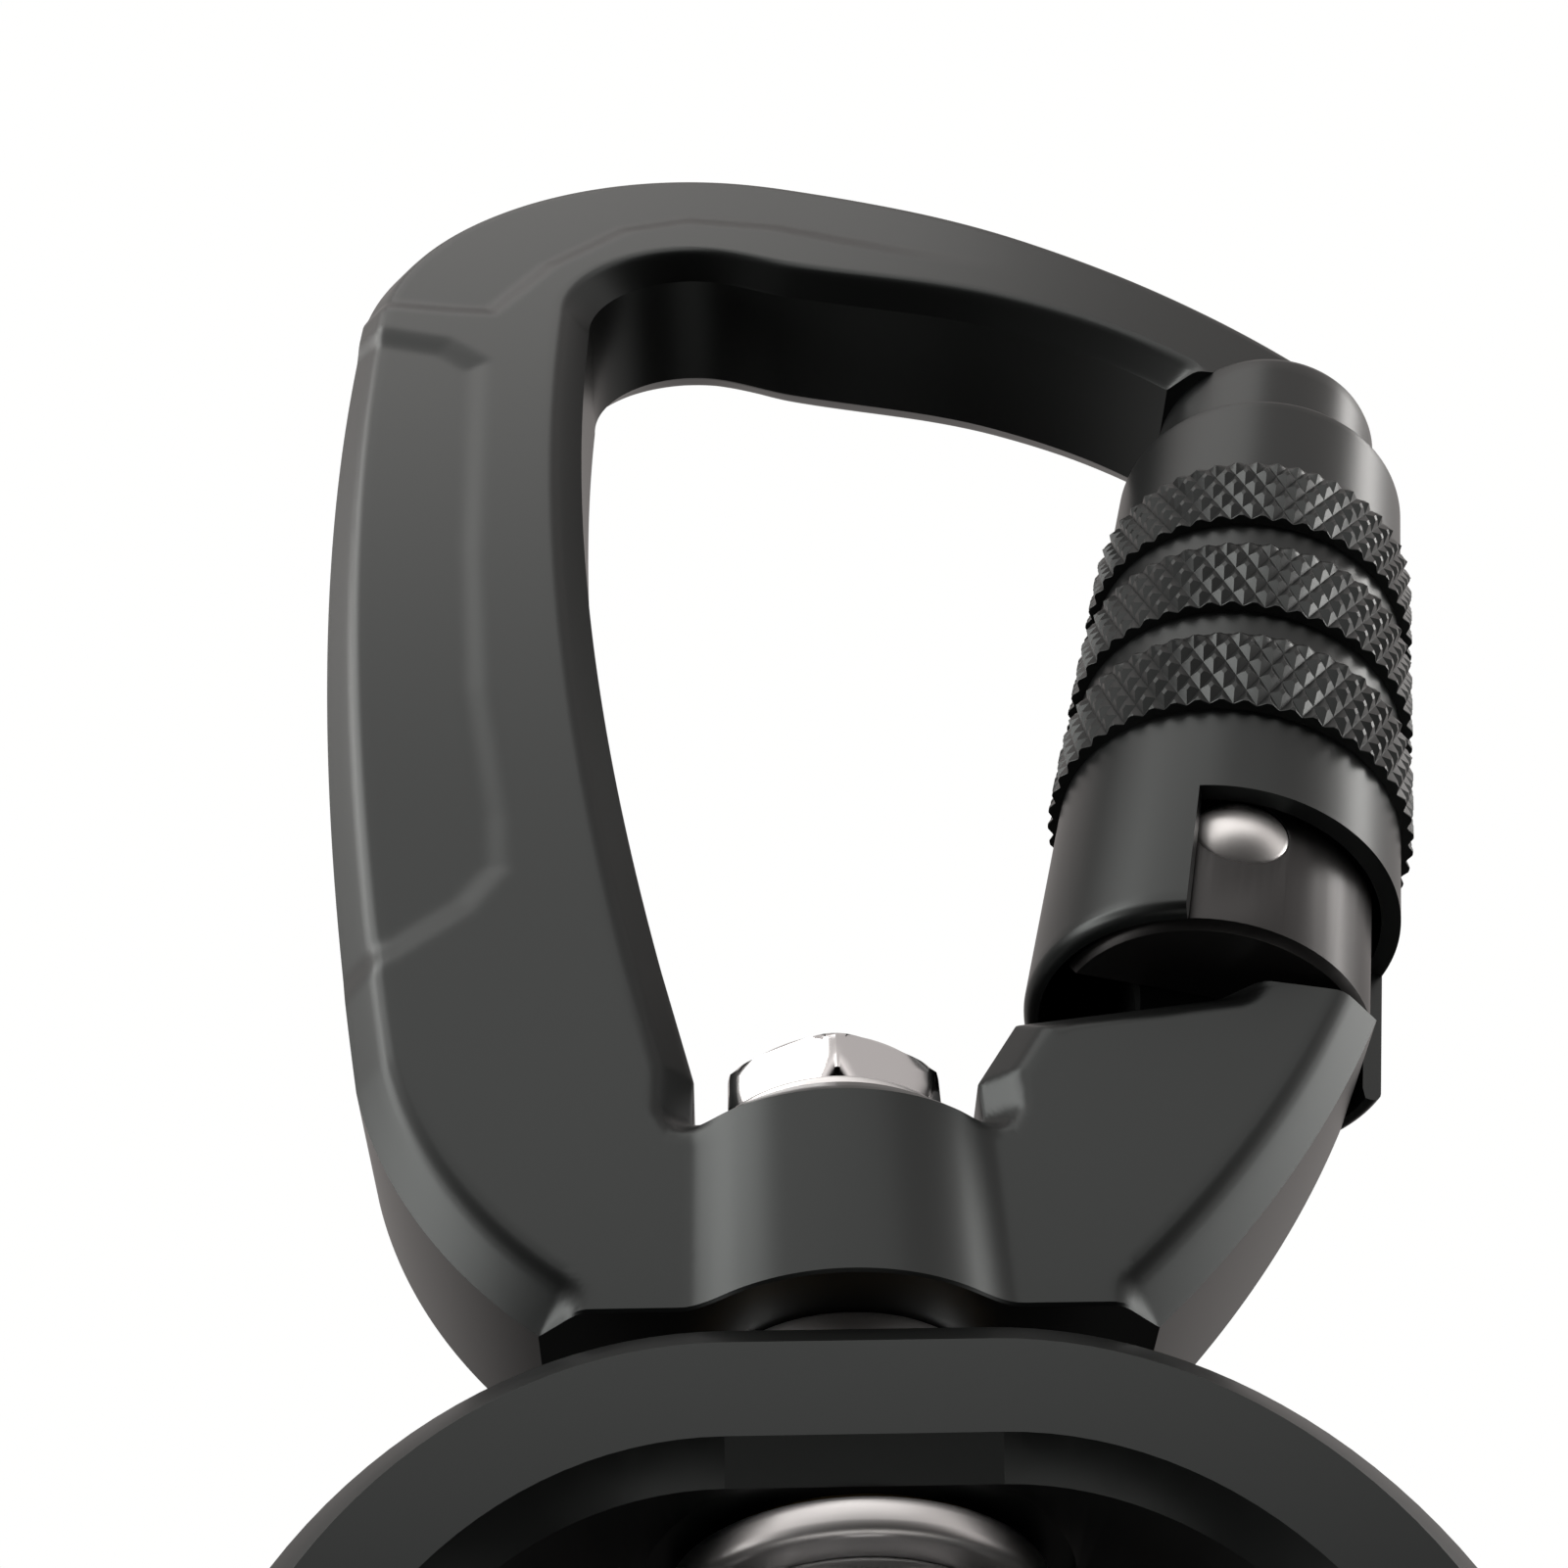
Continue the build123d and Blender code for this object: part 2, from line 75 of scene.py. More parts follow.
class BarSizes(PropertyGroup):
    """Sizes of the forged C-shaped bar."""
    thickness: length("Thickness", "Front to back of the bar", 0.0115)
    chamfer: length("Chamfer", "Width of the chamfer along both faces", 0.0017)
    crown_left: length("Crown left", "Swivel axis to the outside of the spine", 0.0304)
    crown_radius: length("Crown radius", "Radius of the crown at the spine", 0.0229)
    crown_top: length("Crown top", "Basket to the top of the bar", 0.0184)
    crown_end: angle("Crown end", "Where the crown arc turns into the shoulder arc", 20)
    spine_width: length("Spine width", "Width of the spine at the basket", 0.016)
    spine_bulge: length("Spine bulge", "Bow of the outside of the spine", 0.0019)
    inner_bulge: length("Inner bulge", "Bow of the inside of the spine", 0.0022)
    basket_left: length("Basket left", "Highest point of the basket, left of the axis", 0.007)
    basket_rise: length("Basket rise", "Height of that point over the origin", 0.0025)
    basket_radius: length("Basket radius", "Drop of the basket's corner", 0.008)
    basket_mid_x: length("Underside X", "A point of the top bar's underside", 0.0146)
    basket_mid_drop: length("Underside drop", "How far that point is below the origin", 0.0047)
    base_depth: length("Base depth", "Basket to the underside of the base", 0.0859)
    base_half: length("Base half width", "Half width of the base's underside", 0.0124)
    corner_rise: length("Corner rise", "Height of the bend over the base", 0.0124)
    corner_x: length("Corner X", "Distance of that bend from the axis", 0.0213)
    base_bulge: length("Base bulge", "Bow of the base's left flank", 0.0012)
    arm_bulge: length("Arm bulge", "Bow of the hinge arm's flank", 0.0008)
    arm_reach: length("Arm reach", "Gate's axis to the inner end of the arm's top", 0.009)
    arm_drop: length("Arm drop", "Hinge pin down to the top of the arm", 0.008)
    arm_fall: angle("Arm fall", "Slope of the arm's top toward the swivel", 25.5)
    shoulder_drop: length("Shoulder drop", "Hinge pin down to the arm's outer corner", 0.0075)
    nose_inset: length("Nose inset", "Side of the nose in to the end of the bar's outside", 0.0015)
    nose_sink: length("Nose sink", "Top of the nose down to the end of the bar's outside", 0.0009)
    panel_depth: length("Panel depth", "Depth of the shallow panels beside the rib", 0.00042)
    panel_soft: length("Panel softness", "Width of the panels' sloping edge", 0.0023)
    boss_radius: length("Boss radius", "Radius of the swivel boss", 0.0083)
    boss_height: length("Boss height", "Height of the swivel boss", 0.0104)
    boss_chamfer: length("Boss chamfer", "Chamfer on top of the boss", 0.0014)
    seat_half: length("Seat half width", "Half width of the bolt head's seat", 0.00635)
    lip_left: length("Left lip", "Height of the seat's left wall", 0.00237)
    lip_right: length("Right lip", "Height of the seat's right wall", 0.00208)


class GateSizes(PropertyGroup):
    """Sizes of the gate, its sleeve, and the nose that it closes on."""
    hinge_x: length("Hinge X", "Hinge pin from the swivel axis", 0.0202)
    hinge_z: length("Hinge Z", "Height of the hinge pin", -0.0608)
    lean: angle("Lean", "Outward lean of the gate", 14.8)
    nose_radius: length("Nose radius", "Radius of the cylindrical nose", 0.0072)
    nose_low: length("Nose low", "Hinge to the sleeve's top rim", 0.0393)
    nose_length: length("Nose length", "Length of the nose above the sleeve", 0.0094)
    nose_gap: length("Nose gap", "Clearance of the swinging rim", 0.0004)
    sleeve_radius: length("Sleeve radius", "Outside of the sleeve's plain parts", 0.009)
    sleeve_bore: length("Sleeve bore", "Inside radius of the sleeve", 0.00805)
    sleeve_bottom: length("Sleeve bottom", "Hinge down to the sleeve's lower rim", 0.007)
    rim_round: length("Rim rounding", "Rounding of the sleeve's rims", 0.0006)
    knurl_height: length("Knurl height", "How far the bands stand proud", 0.00065)
    knurl_groove: length("Knurl groove", "Depth of the knurl's grooves", 0.0003)
    knurl_pitch: length("Knurl pitch", "Height of one knurl diamond", 0.0024)
    knurl_count: IntProperty(name="Knurl count", description="Diamonds round a band", default=50)
    band_low: length("Lowest band", "Hinge to the lowest band", 0.0076)
    band_length: length("Band length", "Length of one band", 0.0064)
    band_pitch: length("Band pitch", "Distance between bands", 0.0086)
    cut_top: length("Cutaway top", "Hinge to the top of the rivet cutaway", 0.0016)
    cut_start: angle("Cutaway start", "Cutaway start, from the front toward the gate side", -15)
    cut_end: angle("Cutaway end", "Cutaway end", 104)
    window_low: length("Window low", "Hinge to the lower edge of the latch window", 0.0306)
    window_start: angle("Window start", "Window start, from the front toward the gate side", 98)
    window_end: angle("Window end", "Window end", 196)
    barrel_radius: length("Barrel radius", "Radius of the gate's core", 0.0077)
    rivet_head: length("Rivet head", "Radius of the rivet's heads", 0.0023)
    rivet_radius: length("Rivet radius", "Radius of the rivet's shank", 0.002)
    latch_half: length("Latch half width", "Half width of the latch tongue", 0.003)
    latch_depth: length("Latch half depth", "Half of the latch tongue, front to back", 0.002)
    latch_reach: length("Latch reach", "Sleeve's top rim down to the end of the latch tongue", 0.0068)
    latch_root: length("Latch root", "How far the latch tongue goes up into the nose", 0.002)
    hinge_depth: length("Hinge half depth", "Half of the hinge tongue, front to back", 0.0025)
    tongue_bevel: length("Tongue bevel", "Bevel on the faces of both tongues", 0.0003)


class SwivelSizes(PropertyGroup):
    """Sizes of the bolt, the washers, the nut and the eye."""
    head_flats: length("Head flats", "Across flats of the bolt head", 0.0097)
    nut_flats: length("Nut flats", "Across flats of the lock nut", 0.013)
    shank_radius: length("Shank radius", "Radius of the bolt's shank", 0.004)
    corner_cut: length("Corner cut", "How far the corners of head and nut are turned off", 0.0006)
    thread_pitch: length("Thread pitch", "Height of one turn of the thread", 0.00125)
    thread_depth: length("Thread depth", "Depth of the thread's grooves", 0.00048)
    thread_length: length("Thread length", "End of the bolt to the end of the thread", 0.0085)
    bore_gap: length("Bore gap", "Room between the shank and what is on it", 0.00005)


class FinishColours(PropertyGroup):
    """Colours of the finishes."""
    coat: colour("Coat", "Black coating of the bar and the eye", (0.012, 0.012, 0.0117))
    anodised: colour("Anodised", "Black anodising of the sleeve", (0.008, 0.008, 0.0079))
    barrel: colour("Barrel", "Gloss black of the gate's core", (0.012, 0.012, 0.012))
    zinc: colour("Zinc", "Bright zinc of the bolt and the nut", (0.95, 0.95, 0.94))
    # The rivet colour is a near-white matte that stands in for the polished heads' bright reflection: painted
    # reflection, not the metal's own colour.
    rivet: colour("Rivet", "Bright rivet heads", (0.97, 0.97, 0.96))
    spring: colour("Spring", "Spring wire", (0.42, 0.41, 0.40))
    bronze: colour("Bronze", "Bearing bushes", (0.36, 0.23, 0.11))
    nylon: colour("Nylon", "Locking insert of the nut", (0.62, 0.63, 0.60))


# ---------------------------------------------------------------- meshes

def add_mesh(name, points, quads, others, body, finish, nodes, sharp=32):
    """Make a mesh piece from an (n, 3) array of points, an (m, 4) array of quads and a list of other faces,
    and put it on its body, with edges over the sharp angle, in degrees, left sharp."""
    data = bpy.data.meshes.new(name)
    faces = [tuple(q) for q in np.asarray(quads).tolist()] + [tuple(f) for f in others]
    data.from_pydata(np.asarray(points).tolist(), [], faces)
    data.validate()
    data.shade_smooth()
    data.set_sharp_from_angle(angle=math.radians(sharp))
    piece = bpy.data.objects.new(name, data)
    bpy.context.scene.collection.objects.link(piece)
    data.materials.append(finish)
    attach(piece, body)
    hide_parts(*nodes)


def grid_quads(rows, columns, first=0, closed_rows=False, closed_columns=False):
    """Quads of a rows by columns grid of points, numbered row by row, joined up where it is closed."""
    i = np.arange(rows if closed_rows else rows - 1)
    j = np.arange(columns if closed_columns else columns - 1)
    i, j = np.meshgrid(i, j, indexing="ij")
    a = i * columns + j
    b = i * columns + (j + 1) % columns
    c = ((i + 1) % rows) * columns + (j + 1) % columns
    d = ((i + 1) % rows) * columns + j
    return first + np.stack([a, b, c, d], -1).reshape(-1, 4)


def revolved(outline, turns=160, reach=None):
    """Points and quads of a closed outline of (radius, height) turned about Z: x = r cos t, y = r sin t.
    reach, a function of the angle and the radii, may bring a radius in, as flats on a hexagon do."""
    outline = np.asarray(outline)
    t = np.arange(turns) / turns * 2 * np.pi
    r = np.repeat(outline[None, :, 0], turns, 0)
    if reach is not None:
        r = reach(t[:, None], r)
    z = np.repeat(outline[None, :, 1], turns, 0)
    points = np.stack([r * np.cos(t)[:, None], r * np.sin(t)[:, None], z], -1).reshape(-1, 3)
    return points, grid_quads(turns, len(outline), closed_rows=True, closed_columns=True)


def rounded_loop(corners, radius, steps=4):
    """A closed polygon whose corners are quadratic curves: (1-u)^2 a + 2u(1-u) corner + u^2 b."""
    corners = np.asarray(corners, float)
    back = np.roll(corners, 1, 0) - corners
    ahead = np.roll(corners, -1, 0) - corners
    size_back = np.linalg.norm(back, axis=1, keepdims=True)
    size_ahead = np.linalg.norm(ahead, axis=1, keepdims=True)
    reach = np.minimum(radius, 0.45 * np.minimum(size_back, size_ahead))
    a = (corners + back / size_back * reach)[:, None]
    b = (corners + ahead / size_ahead * reach)[:, None]
    u = np.linspace(0, 1, steps + 1)[None, :, None]
    curve = (1 - u) ** 2 * a + 2 * u * (1 - u) * corners[:, None] + u**2 * b
    return curve.reshape(-1, 2)


def ring_outline(inner, outer, low, high, rounding):
    """Section of a plain ring, anticlockwise, with all four corners rounded."""
    box = [(inner, low), (outer, low), (outer, high), (inner, high)]
    return rounded_loop(box, rounding)


def to_gate(points, sizes):
    """Carry points drawn on the gate's own axis to the gate: a turn by the lean about Y, then a move to
    the hinge."""
    c, s = math.cos(sizes.lean), math.sin(sizes.lean)
    x, y, z = np.asarray(points, float).T
    return np.stack([sizes.hinge_x + x * c + z * s, y, sizes.hinge_z - x * s + z * c], -1)


def gate_xz(across, along, sizes):
    """X and Z of a point in the gate's own plane."""
    point = to_gate([(across, 0, along)], sizes)[0]
    return np.array([point[0], point[2]])


# ---------------------------------------------------------------- curves in the XZ plane

def bowed(start, end, bulge, count):
    """Arc from start to end that bows by bulge to the left: the circle through three points, by angle."""
    start, end = np.asarray(start, float), np.asarray(end, float)
    if abs(bulge) < 1e-7:
        u = np.linspace(0, 1, count)[:, None]
        return start + (end - start) * u
    chord = end - start
    span = np.linalg.norm(chord)
    left = np.array([-chord[1], chord[0]]) / span
    radius = (span**2 / 4 + bulge**2) / (2 * bulge)
    centre = (start + end) / 2 + left * (bulge - radius)
    half = math.asin(min(1, span / 2 / abs(radius)))
    turn = np.linspace(-half, half, count)[:, None]
    side = math.copysign(1, bulge)
    return centre + abs(radius) * (side * left * np.cos(turn) + chord / span * np.sin(turn))


def tangent_arc(start, tangent, end, count):
    """Arc that leaves start along tangent and ends at end; its bow follows from the turn between them."""
    start, end = np.asarray(start, float), np.asarray(end, float)
    chord = end - start
    span = np.linalg.norm(chord)
    cross = tangent[0] * chord[1] - tangent[1] * chord[0]
    half = math.asin(max(-1, min(1, cross / span)))
    bulge = -span / 2 * math.tan(half / 2)
    return bowed(start, end, bulge, count)


def hermite(points, first, last, count):
    """Cubic curve through points with given end directions, run by chord length: each inner slope is the
    chord across its neighbours over the run between them."""
    points = np.asarray(points, float)
    runs = np.linalg.norm(np.diff(points, axis=0), axis=1)
    at = np.concatenate([[0], np.cumsum(runs)])
    slopes = np.zeros_like(points)
    slopes[1:-1] = (points[2:] - points[:-2]) / (at[2:] - at[:-2])[:, None]
    slopes[0] = first
    slopes[-1] = last
    here = np.linspace(0, at[-1], count)
    k = np.clip(np.searchsorted(at, here, side="right") - 1, 0, len(points) - 2)
    run = runs[k][:, None]
    u = ((here - at[k]) / runs[k])[:, None]
    h = (2 * u**3 - 3 * u**2 + 1) * points[k] + (u**3 - 2 * u**2 + u) * run * slopes[k]
    return h + (-2 * u**3 + 3 * u**2) * points[k + 1] + (u**3 - u**2) * run * slopes[k + 1]


def distance_to(points, line):
    """Distance from each (x, z) point to a polyline, the least over its segments."""
    best = np.full(len(points), 1.0)
    for a, b in zip(line[:-1], line[1:]):
        ab = b - a
        size = float(ab @ ab)
        if size < 1e-14:
            continue
        u = np.clip(((points - a) @ ab) / size, 0, 1)
        best = np.minimum(best, np.linalg.norm(points - a - u[:, None] * ab, axis=1))
    return best


def inside(points, polygon):
    """Whether each (x, z) point is in a polygon, by counting the edges a ray along +X crosses."""
    found = np.zeros(len(points), bool)
    for a, b in zip(polygon, np.roll(polygon, -1, 0)):
        rises = (a[1] > points[:, 1]) != (b[1] > points[:, 1])
        run = (points[:, 1] - a[1]) / (b[1] - a[1] + 1e-15)
        found ^= rises & (points[:, 0] < a[0] + run * (b[0] - a[0]))
    return found


def step(value):
    """Smooth step from 0 to 1."""
    value = np.clip(value, 0, 1)
    return value * value * (3 - 2 * value)


def soft_min(a, b, width):
    """Smaller of two heights with the crease between them rounded over width."""
    mix = np.clip(0.5 + 0.5 * (b - a) / width, 0, 1)
    return b + (a - b) * mix - width * mix * (1 - mix)


# ---------------------------------------------------------------- the bar

def bar_rails(sizes, gate):
    """Outer and inner outline of the bar as two rails with matching points, from the nose to the hinge arm:
    straight lines, arcs and one cubic curve under the top bar."""
    # Points of each stretch, the same on both rails
    top, curl, crest, spine, flank, bend, foot, low_arm, high_arm = 101, 51, 51, 181, 41, 6, 81, 46, 36
    crown_split, crown_side = -25, -90
    base = -sizes.base_depth
    cx = sizes.crown_radius - sizes.crown_left
    cz = sizes.crown_top - sizes.crown_radius
    seat = base + sizes.boss_height
    foot_left = np.array([-sizes.base_half, base])
    foot_right = np.array([sizes.base_half, base])
    spine_low = np.array([-sizes.corner_x, base + sizes.corner_rise])
    spine_high = np.array([-sizes.crown_left, cz])
    nose_top = gate.nose_low + gate.nose_length
    nose_outer = gate_xz(gate.nose_radius - sizes.nose_inset, nose_top - sizes.nose_sink, gate)
    nose_inner = gate_xz(-gate.nose_radius, nose_top - gate.nose_length / 7, gate)
    turn = sizes.crown_end
    crown_end = np.array([cx + sizes.crown_radius * math.sin(turn), cz + sizes.crown_radius * math.cos(turn)])
    basket_high = np.array([-sizes.basket_left, sizes.basket_rise])
    inner_high = np.array([-sizes.crown_left + sizes.spine_width, sizes.basket_rise - sizes.basket_radius])
    lip_left = np.array([-sizes.seat_half, seat + sizes.lip_left])
    lip_right = np.array([sizes.seat_half, seat + sizes.lip_right])
    fall = sizes.arm_reach * math.sin(sizes.arm_fall)
    arm_end = gate_xz(-sizes.arm_reach, -sizes.arm_drop - fall, gate)
    shoulder_mid = gate_xz(0, -sizes.arm_drop, gate)
    shoulder_end = gate_xz(gate.nose_radius, -sizes.shoulder_drop, gate)

    def crown(start, end, count):
        t = np.radians(np.linspace(start, end, count))
        return np.stack([cx + sizes.crown_radius * np.sin(t), cz + sizes.crown_radius * np.cos(t)], -1)

    def line(a, b, count):
        return bowed(a, b, 0, count)

    off_nose, level = (-0.62, 0.78), (-1, 0)
    under = hermite([nose_inner, (sizes.basket_mid_x, -sizes.basket_mid_drop), (0, 0), basket_high],
                    off_nose, level, top + curl - 1)
    spine_in = bowed(inner_high, lip_left, -sizes.inner_bulge, spine + 20)
    arm = bowed(shoulder_end, foot_right, sizes.arm_bulge, low_arm + high_arm - 1)[::-1]
    shoulder = tangent_arc(crown_end, (math.cos(turn), -math.sin(turn)), nose_outer, top)[::-1]
    heel = np.array([0.0004, 0])
    seat_left, seat_right = (-sizes.seat_half, seat), (sizes.seat_half, seat)
    outer = [shoulder, crown(math.degrees(turn), crown_split, curl), crown(crown_split, crown_side, crest),
             bowed(spine_low, spine_high, sizes.spine_bulge, spine)[::-1],
             bowed(foot_left, spine_low, sizes.base_bulge, flank)[::-1],
             line(foot_left, foot_left + heel, bend), line(foot_left + heel, foot_right - heel, foot),
             line(foot_right - heel, foot_right, bend), arm[:low_arm], arm[low_arm - 1:]]
    inner = [under[:top], under[top - 1:], tangent_arc(basket_high, level, inner_high, crest),
             spine_in[:spine], line(spine_in[spine - 1], lip_left, flank),
             line(lip_left, seat_left, bend), line(seat_left, seat_right, foot),
             line(seat_right, lip_right, bend), line(lip_right, arm_end, low_arm),
             line(arm_end, shoulder_mid, high_arm)]
    outer = np.concatenate([part[:-1] for part in outer[:-1]] + [outer[-1]])
    inner = np.concatenate([part[:-1] for part in inner[:-1]] + [inner[-1]])
    return outer, inner


def panel_outlines():
    """Outlines of the shallow panels over the crown and down the spine, drawn in mm and given in metres."""
    crown = [(-34.4, -2.8), (-24.2, -4.6), (-21.2, -4.9), (-17.6, 2.0), (-12.4, 7.7), (-7.5, 9.3), (-1, 8.2),
             (8, 4.2), (15.5, 1.5), (22, 18.4), (-7.5, 24.4), (-34.4, 24.4)]
    spine = [(-34.4, -6.6), (-24.0, -9.8), (-21.4, -12.4), (-19.8, -34.0), (-18.3, -47.0), (-16.4, -57.0),
             (-16.0, -60.8), (-17.4, -63.4), (-20.6, -66.4), (-34.4, -72.0)]
    return [np.array(crown) / 1000, np.array(spine) / 1000]


def bar_depth(points, outer, inner, sizes):
    """Half depth of the bar at (x, z): a 45 degree chamfer from the outline, less the panels' smooth steps,
    or the round boss where that stands further out, with a fillet between the two."""
    crease, fillet, same = 0.0004, 0.0009, 1e-7
    fade_end, fade_run = 0.017, 0.019
    half = sizes.thickness / 2
    base = -sizes.base_depth
    top = base + sizes.boss_height
    flat = (np.abs(outer[:-1, 1] - base) < same) & (np.abs(outer[1:, 1] - base) < same)
    first, last = np.flatnonzero(flat)[[0, -1]]
    gap = np.minimum(distance_to(points, outer[:first + 1]), distance_to(points, outer[last + 1:]))
    gap = np.minimum(gap, distance_to(points, inner))
    depth = soft_min(np.full(len(points), half), half - sizes.chamfer + gap, crease)
    x, z = points.T
    crown_panel, spine_panel = panel_outlines()
    for panel, strength in ((crown_panel, step((fade_end - x) / fade_run)), (spine_panel, 1)):
        away = distance_to(points, np.concatenate([panel, panel[:1]]))
        away = np.where(inside(points, panel), away, -away)
        depth = depth - sizes.panel_depth * step(0.5 + away / sizes.panel_soft) * strength
    radius = sizes.boss_radius - np.clip(sizes.boss_chamfer - (top - z), 0, None)
    radius = np.where(z > top + 10 * same, 0, radius)
    boss = np.sqrt(np.clip(radius**2 - x**2, 0, None))
    return -soft_min(-depth, -boss, fillet)


def bar_surface(sizes, gate):
    """The bar: at each pair of rail points a closed section runs over the front, down the inner wall, over
    the back and up the outer wall; across the faces p = outer + (inner - outer) a, with a denser at the
    edges."""
    corner, wall_steps = 0.00012, 7
    outer, inner = bar_rails(sizes, gate)
    span = inner - outer
    width = np.linalg.norm(span, axis=1)[:, None]
    edge = np.array([corner, 0.0004, 0.0008, 0.0012, 0.0015, 0.0018, 0.0021, 0.0026])
    middle = np.linspace(0, 1, 46)[None, 1:-1]
    low = edge[None, :] / width
    a = np.concatenate([low, low[:, -1:] + (1 - 2 * low[:, -1:]) * middle, 1 - low[:, ::-1]], 1)
    flat = outer[:, None] + span[:, None] * a[..., None]
    rows, columns = a.shape
    depth = bar_depth(flat.reshape(-1, 2), outer, inner, sizes).reshape(rows, columns)

    def wall_points(rail, half):
        y = (half[:, None] - corner) * np.linspace(-1, 1, wall_steps)[None, :]
        return np.stack([np.repeat(rail[:, :1], wall_steps, 1), y, np.repeat(rail[:, 1:], wall_steps, 1)], -1)

    front = np.stack([flat[..., 0], -depth, flat[..., 1]], -1)
    back = np.stack([flat[..., 0], depth, flat[..., 1]], -1)
    loop = np.concatenate([front, wall_points(inner, depth[:, -1]), back[:, ::-1],
                           wall_points(outer, depth[:, 0])[:, ::-1]], 1)
    around = loop.shape[1]
    quads = grid_quads(rows, around, closed_columns=True)
    # Each end is closed by quads from the front row to the back row, and a face along each wall
    i = np.arange(columns - 1)
    far = columns + wall_steps + columns - 1
    cap = np.stack([i, far - i, far - i - 1, i + 1], -1)
    last = (rows - 1) * around
    outer_wall = list(range(far + 1, around))
    inner_wall = list(range(columns, columns + wall_steps))
    sides = [[far, 0] + outer_wall[::-1], [columns - 1, far - columns + 1] + inner_wall[::-1]]
    others = sides + [[last + k for k in face[::-1]] for face in sides]
    quads = np.concatenate([quads, cap, last + cap[:, ::-1]])
    return loop.reshape(-1, 3), quads, others


def prism(corners, half, rounding, bevel):
    """Rounded polygon in (across, along) carried from front to back, drawn in by bevel at both faces."""
    loop = rounded_loop(corners, rounding)
    centre = loop.mean(0)
    shrink = 1 - bevel / np.linalg.norm(loop - centre, axis=1, keepdims=True)
    levels = [(-half, True), (-half + bevel, False), (half - bevel, False), (half, True)]
    rows = []
    for y, small in levels:
        ring = centre + (loop - centre) * (shrink if small else 1)
        rows.append(np.stack([ring[:, 0], np.full(len(ring), y), ring[:, 1]], -1))
    count = len(loop)
    quads = grid_quads(len(levels), count, closed_columns=True)
    front = list(range(count))
    back = [(len(levels) - 1) * count + k for k in front][::-1]
    return np.concatenate(rows), quads, [front, back]


def nose_surface(gate):
    """The nose: a cylinder on the gate's axis with a chamfered top; its underside is a cylinder about the
    hinge, along = sqrt(sweep^2 - across^2)."""
    turns, full_lift, top_gap = 160, 0.0088, 0.00012
    sweep = math.hypot(gate.sleeve_radius, gate.nose_low) + gate.nose_gap
    top = gate.nose_low + gate.nose_length
    r = gate.nose_radius
    t = np.arange(turns) / turns * 2 * np.pi
    radii = np.array([0.00001, 0.3, 0.6, 0.85, 0.97, 1, 1, 1, 1, 1, 0.985, 0.9, 0.895, 0.5, 0.00001]) * r
    lift = np.array([0, 0, 0, 0, 0, 0.0002, 0.002, 0.004, 0.006, 0.0075, 0.0080, full_lift, full_lift,
                     full_lift, full_lift])
    low = np.sqrt(sweep**2 - (radii[None, :] * np.cos(t)[:, None]) ** 2)
    share = (lift / full_lift)[None, :]
    z = low * (1 - share) + (top - top_gap) * share
    x = radii[None, :] * np.cos(t)[:, None]
    y = radii[None, :] * np.sin(t)[:, None]
    points = np.stack([x, y, z], -1).reshape(-1, 3)
    count = len(radii)
    quads = grid_quads(turns, count, closed_rows=True)
    low_cap = [k * count for k in range(turns)][::-1]
    high_cap = [k * count + count - 1 for k in range(turns)]
    return points, quads, [low_cap, high_cap]


# ---------------------------------------------------------------- the sleeve

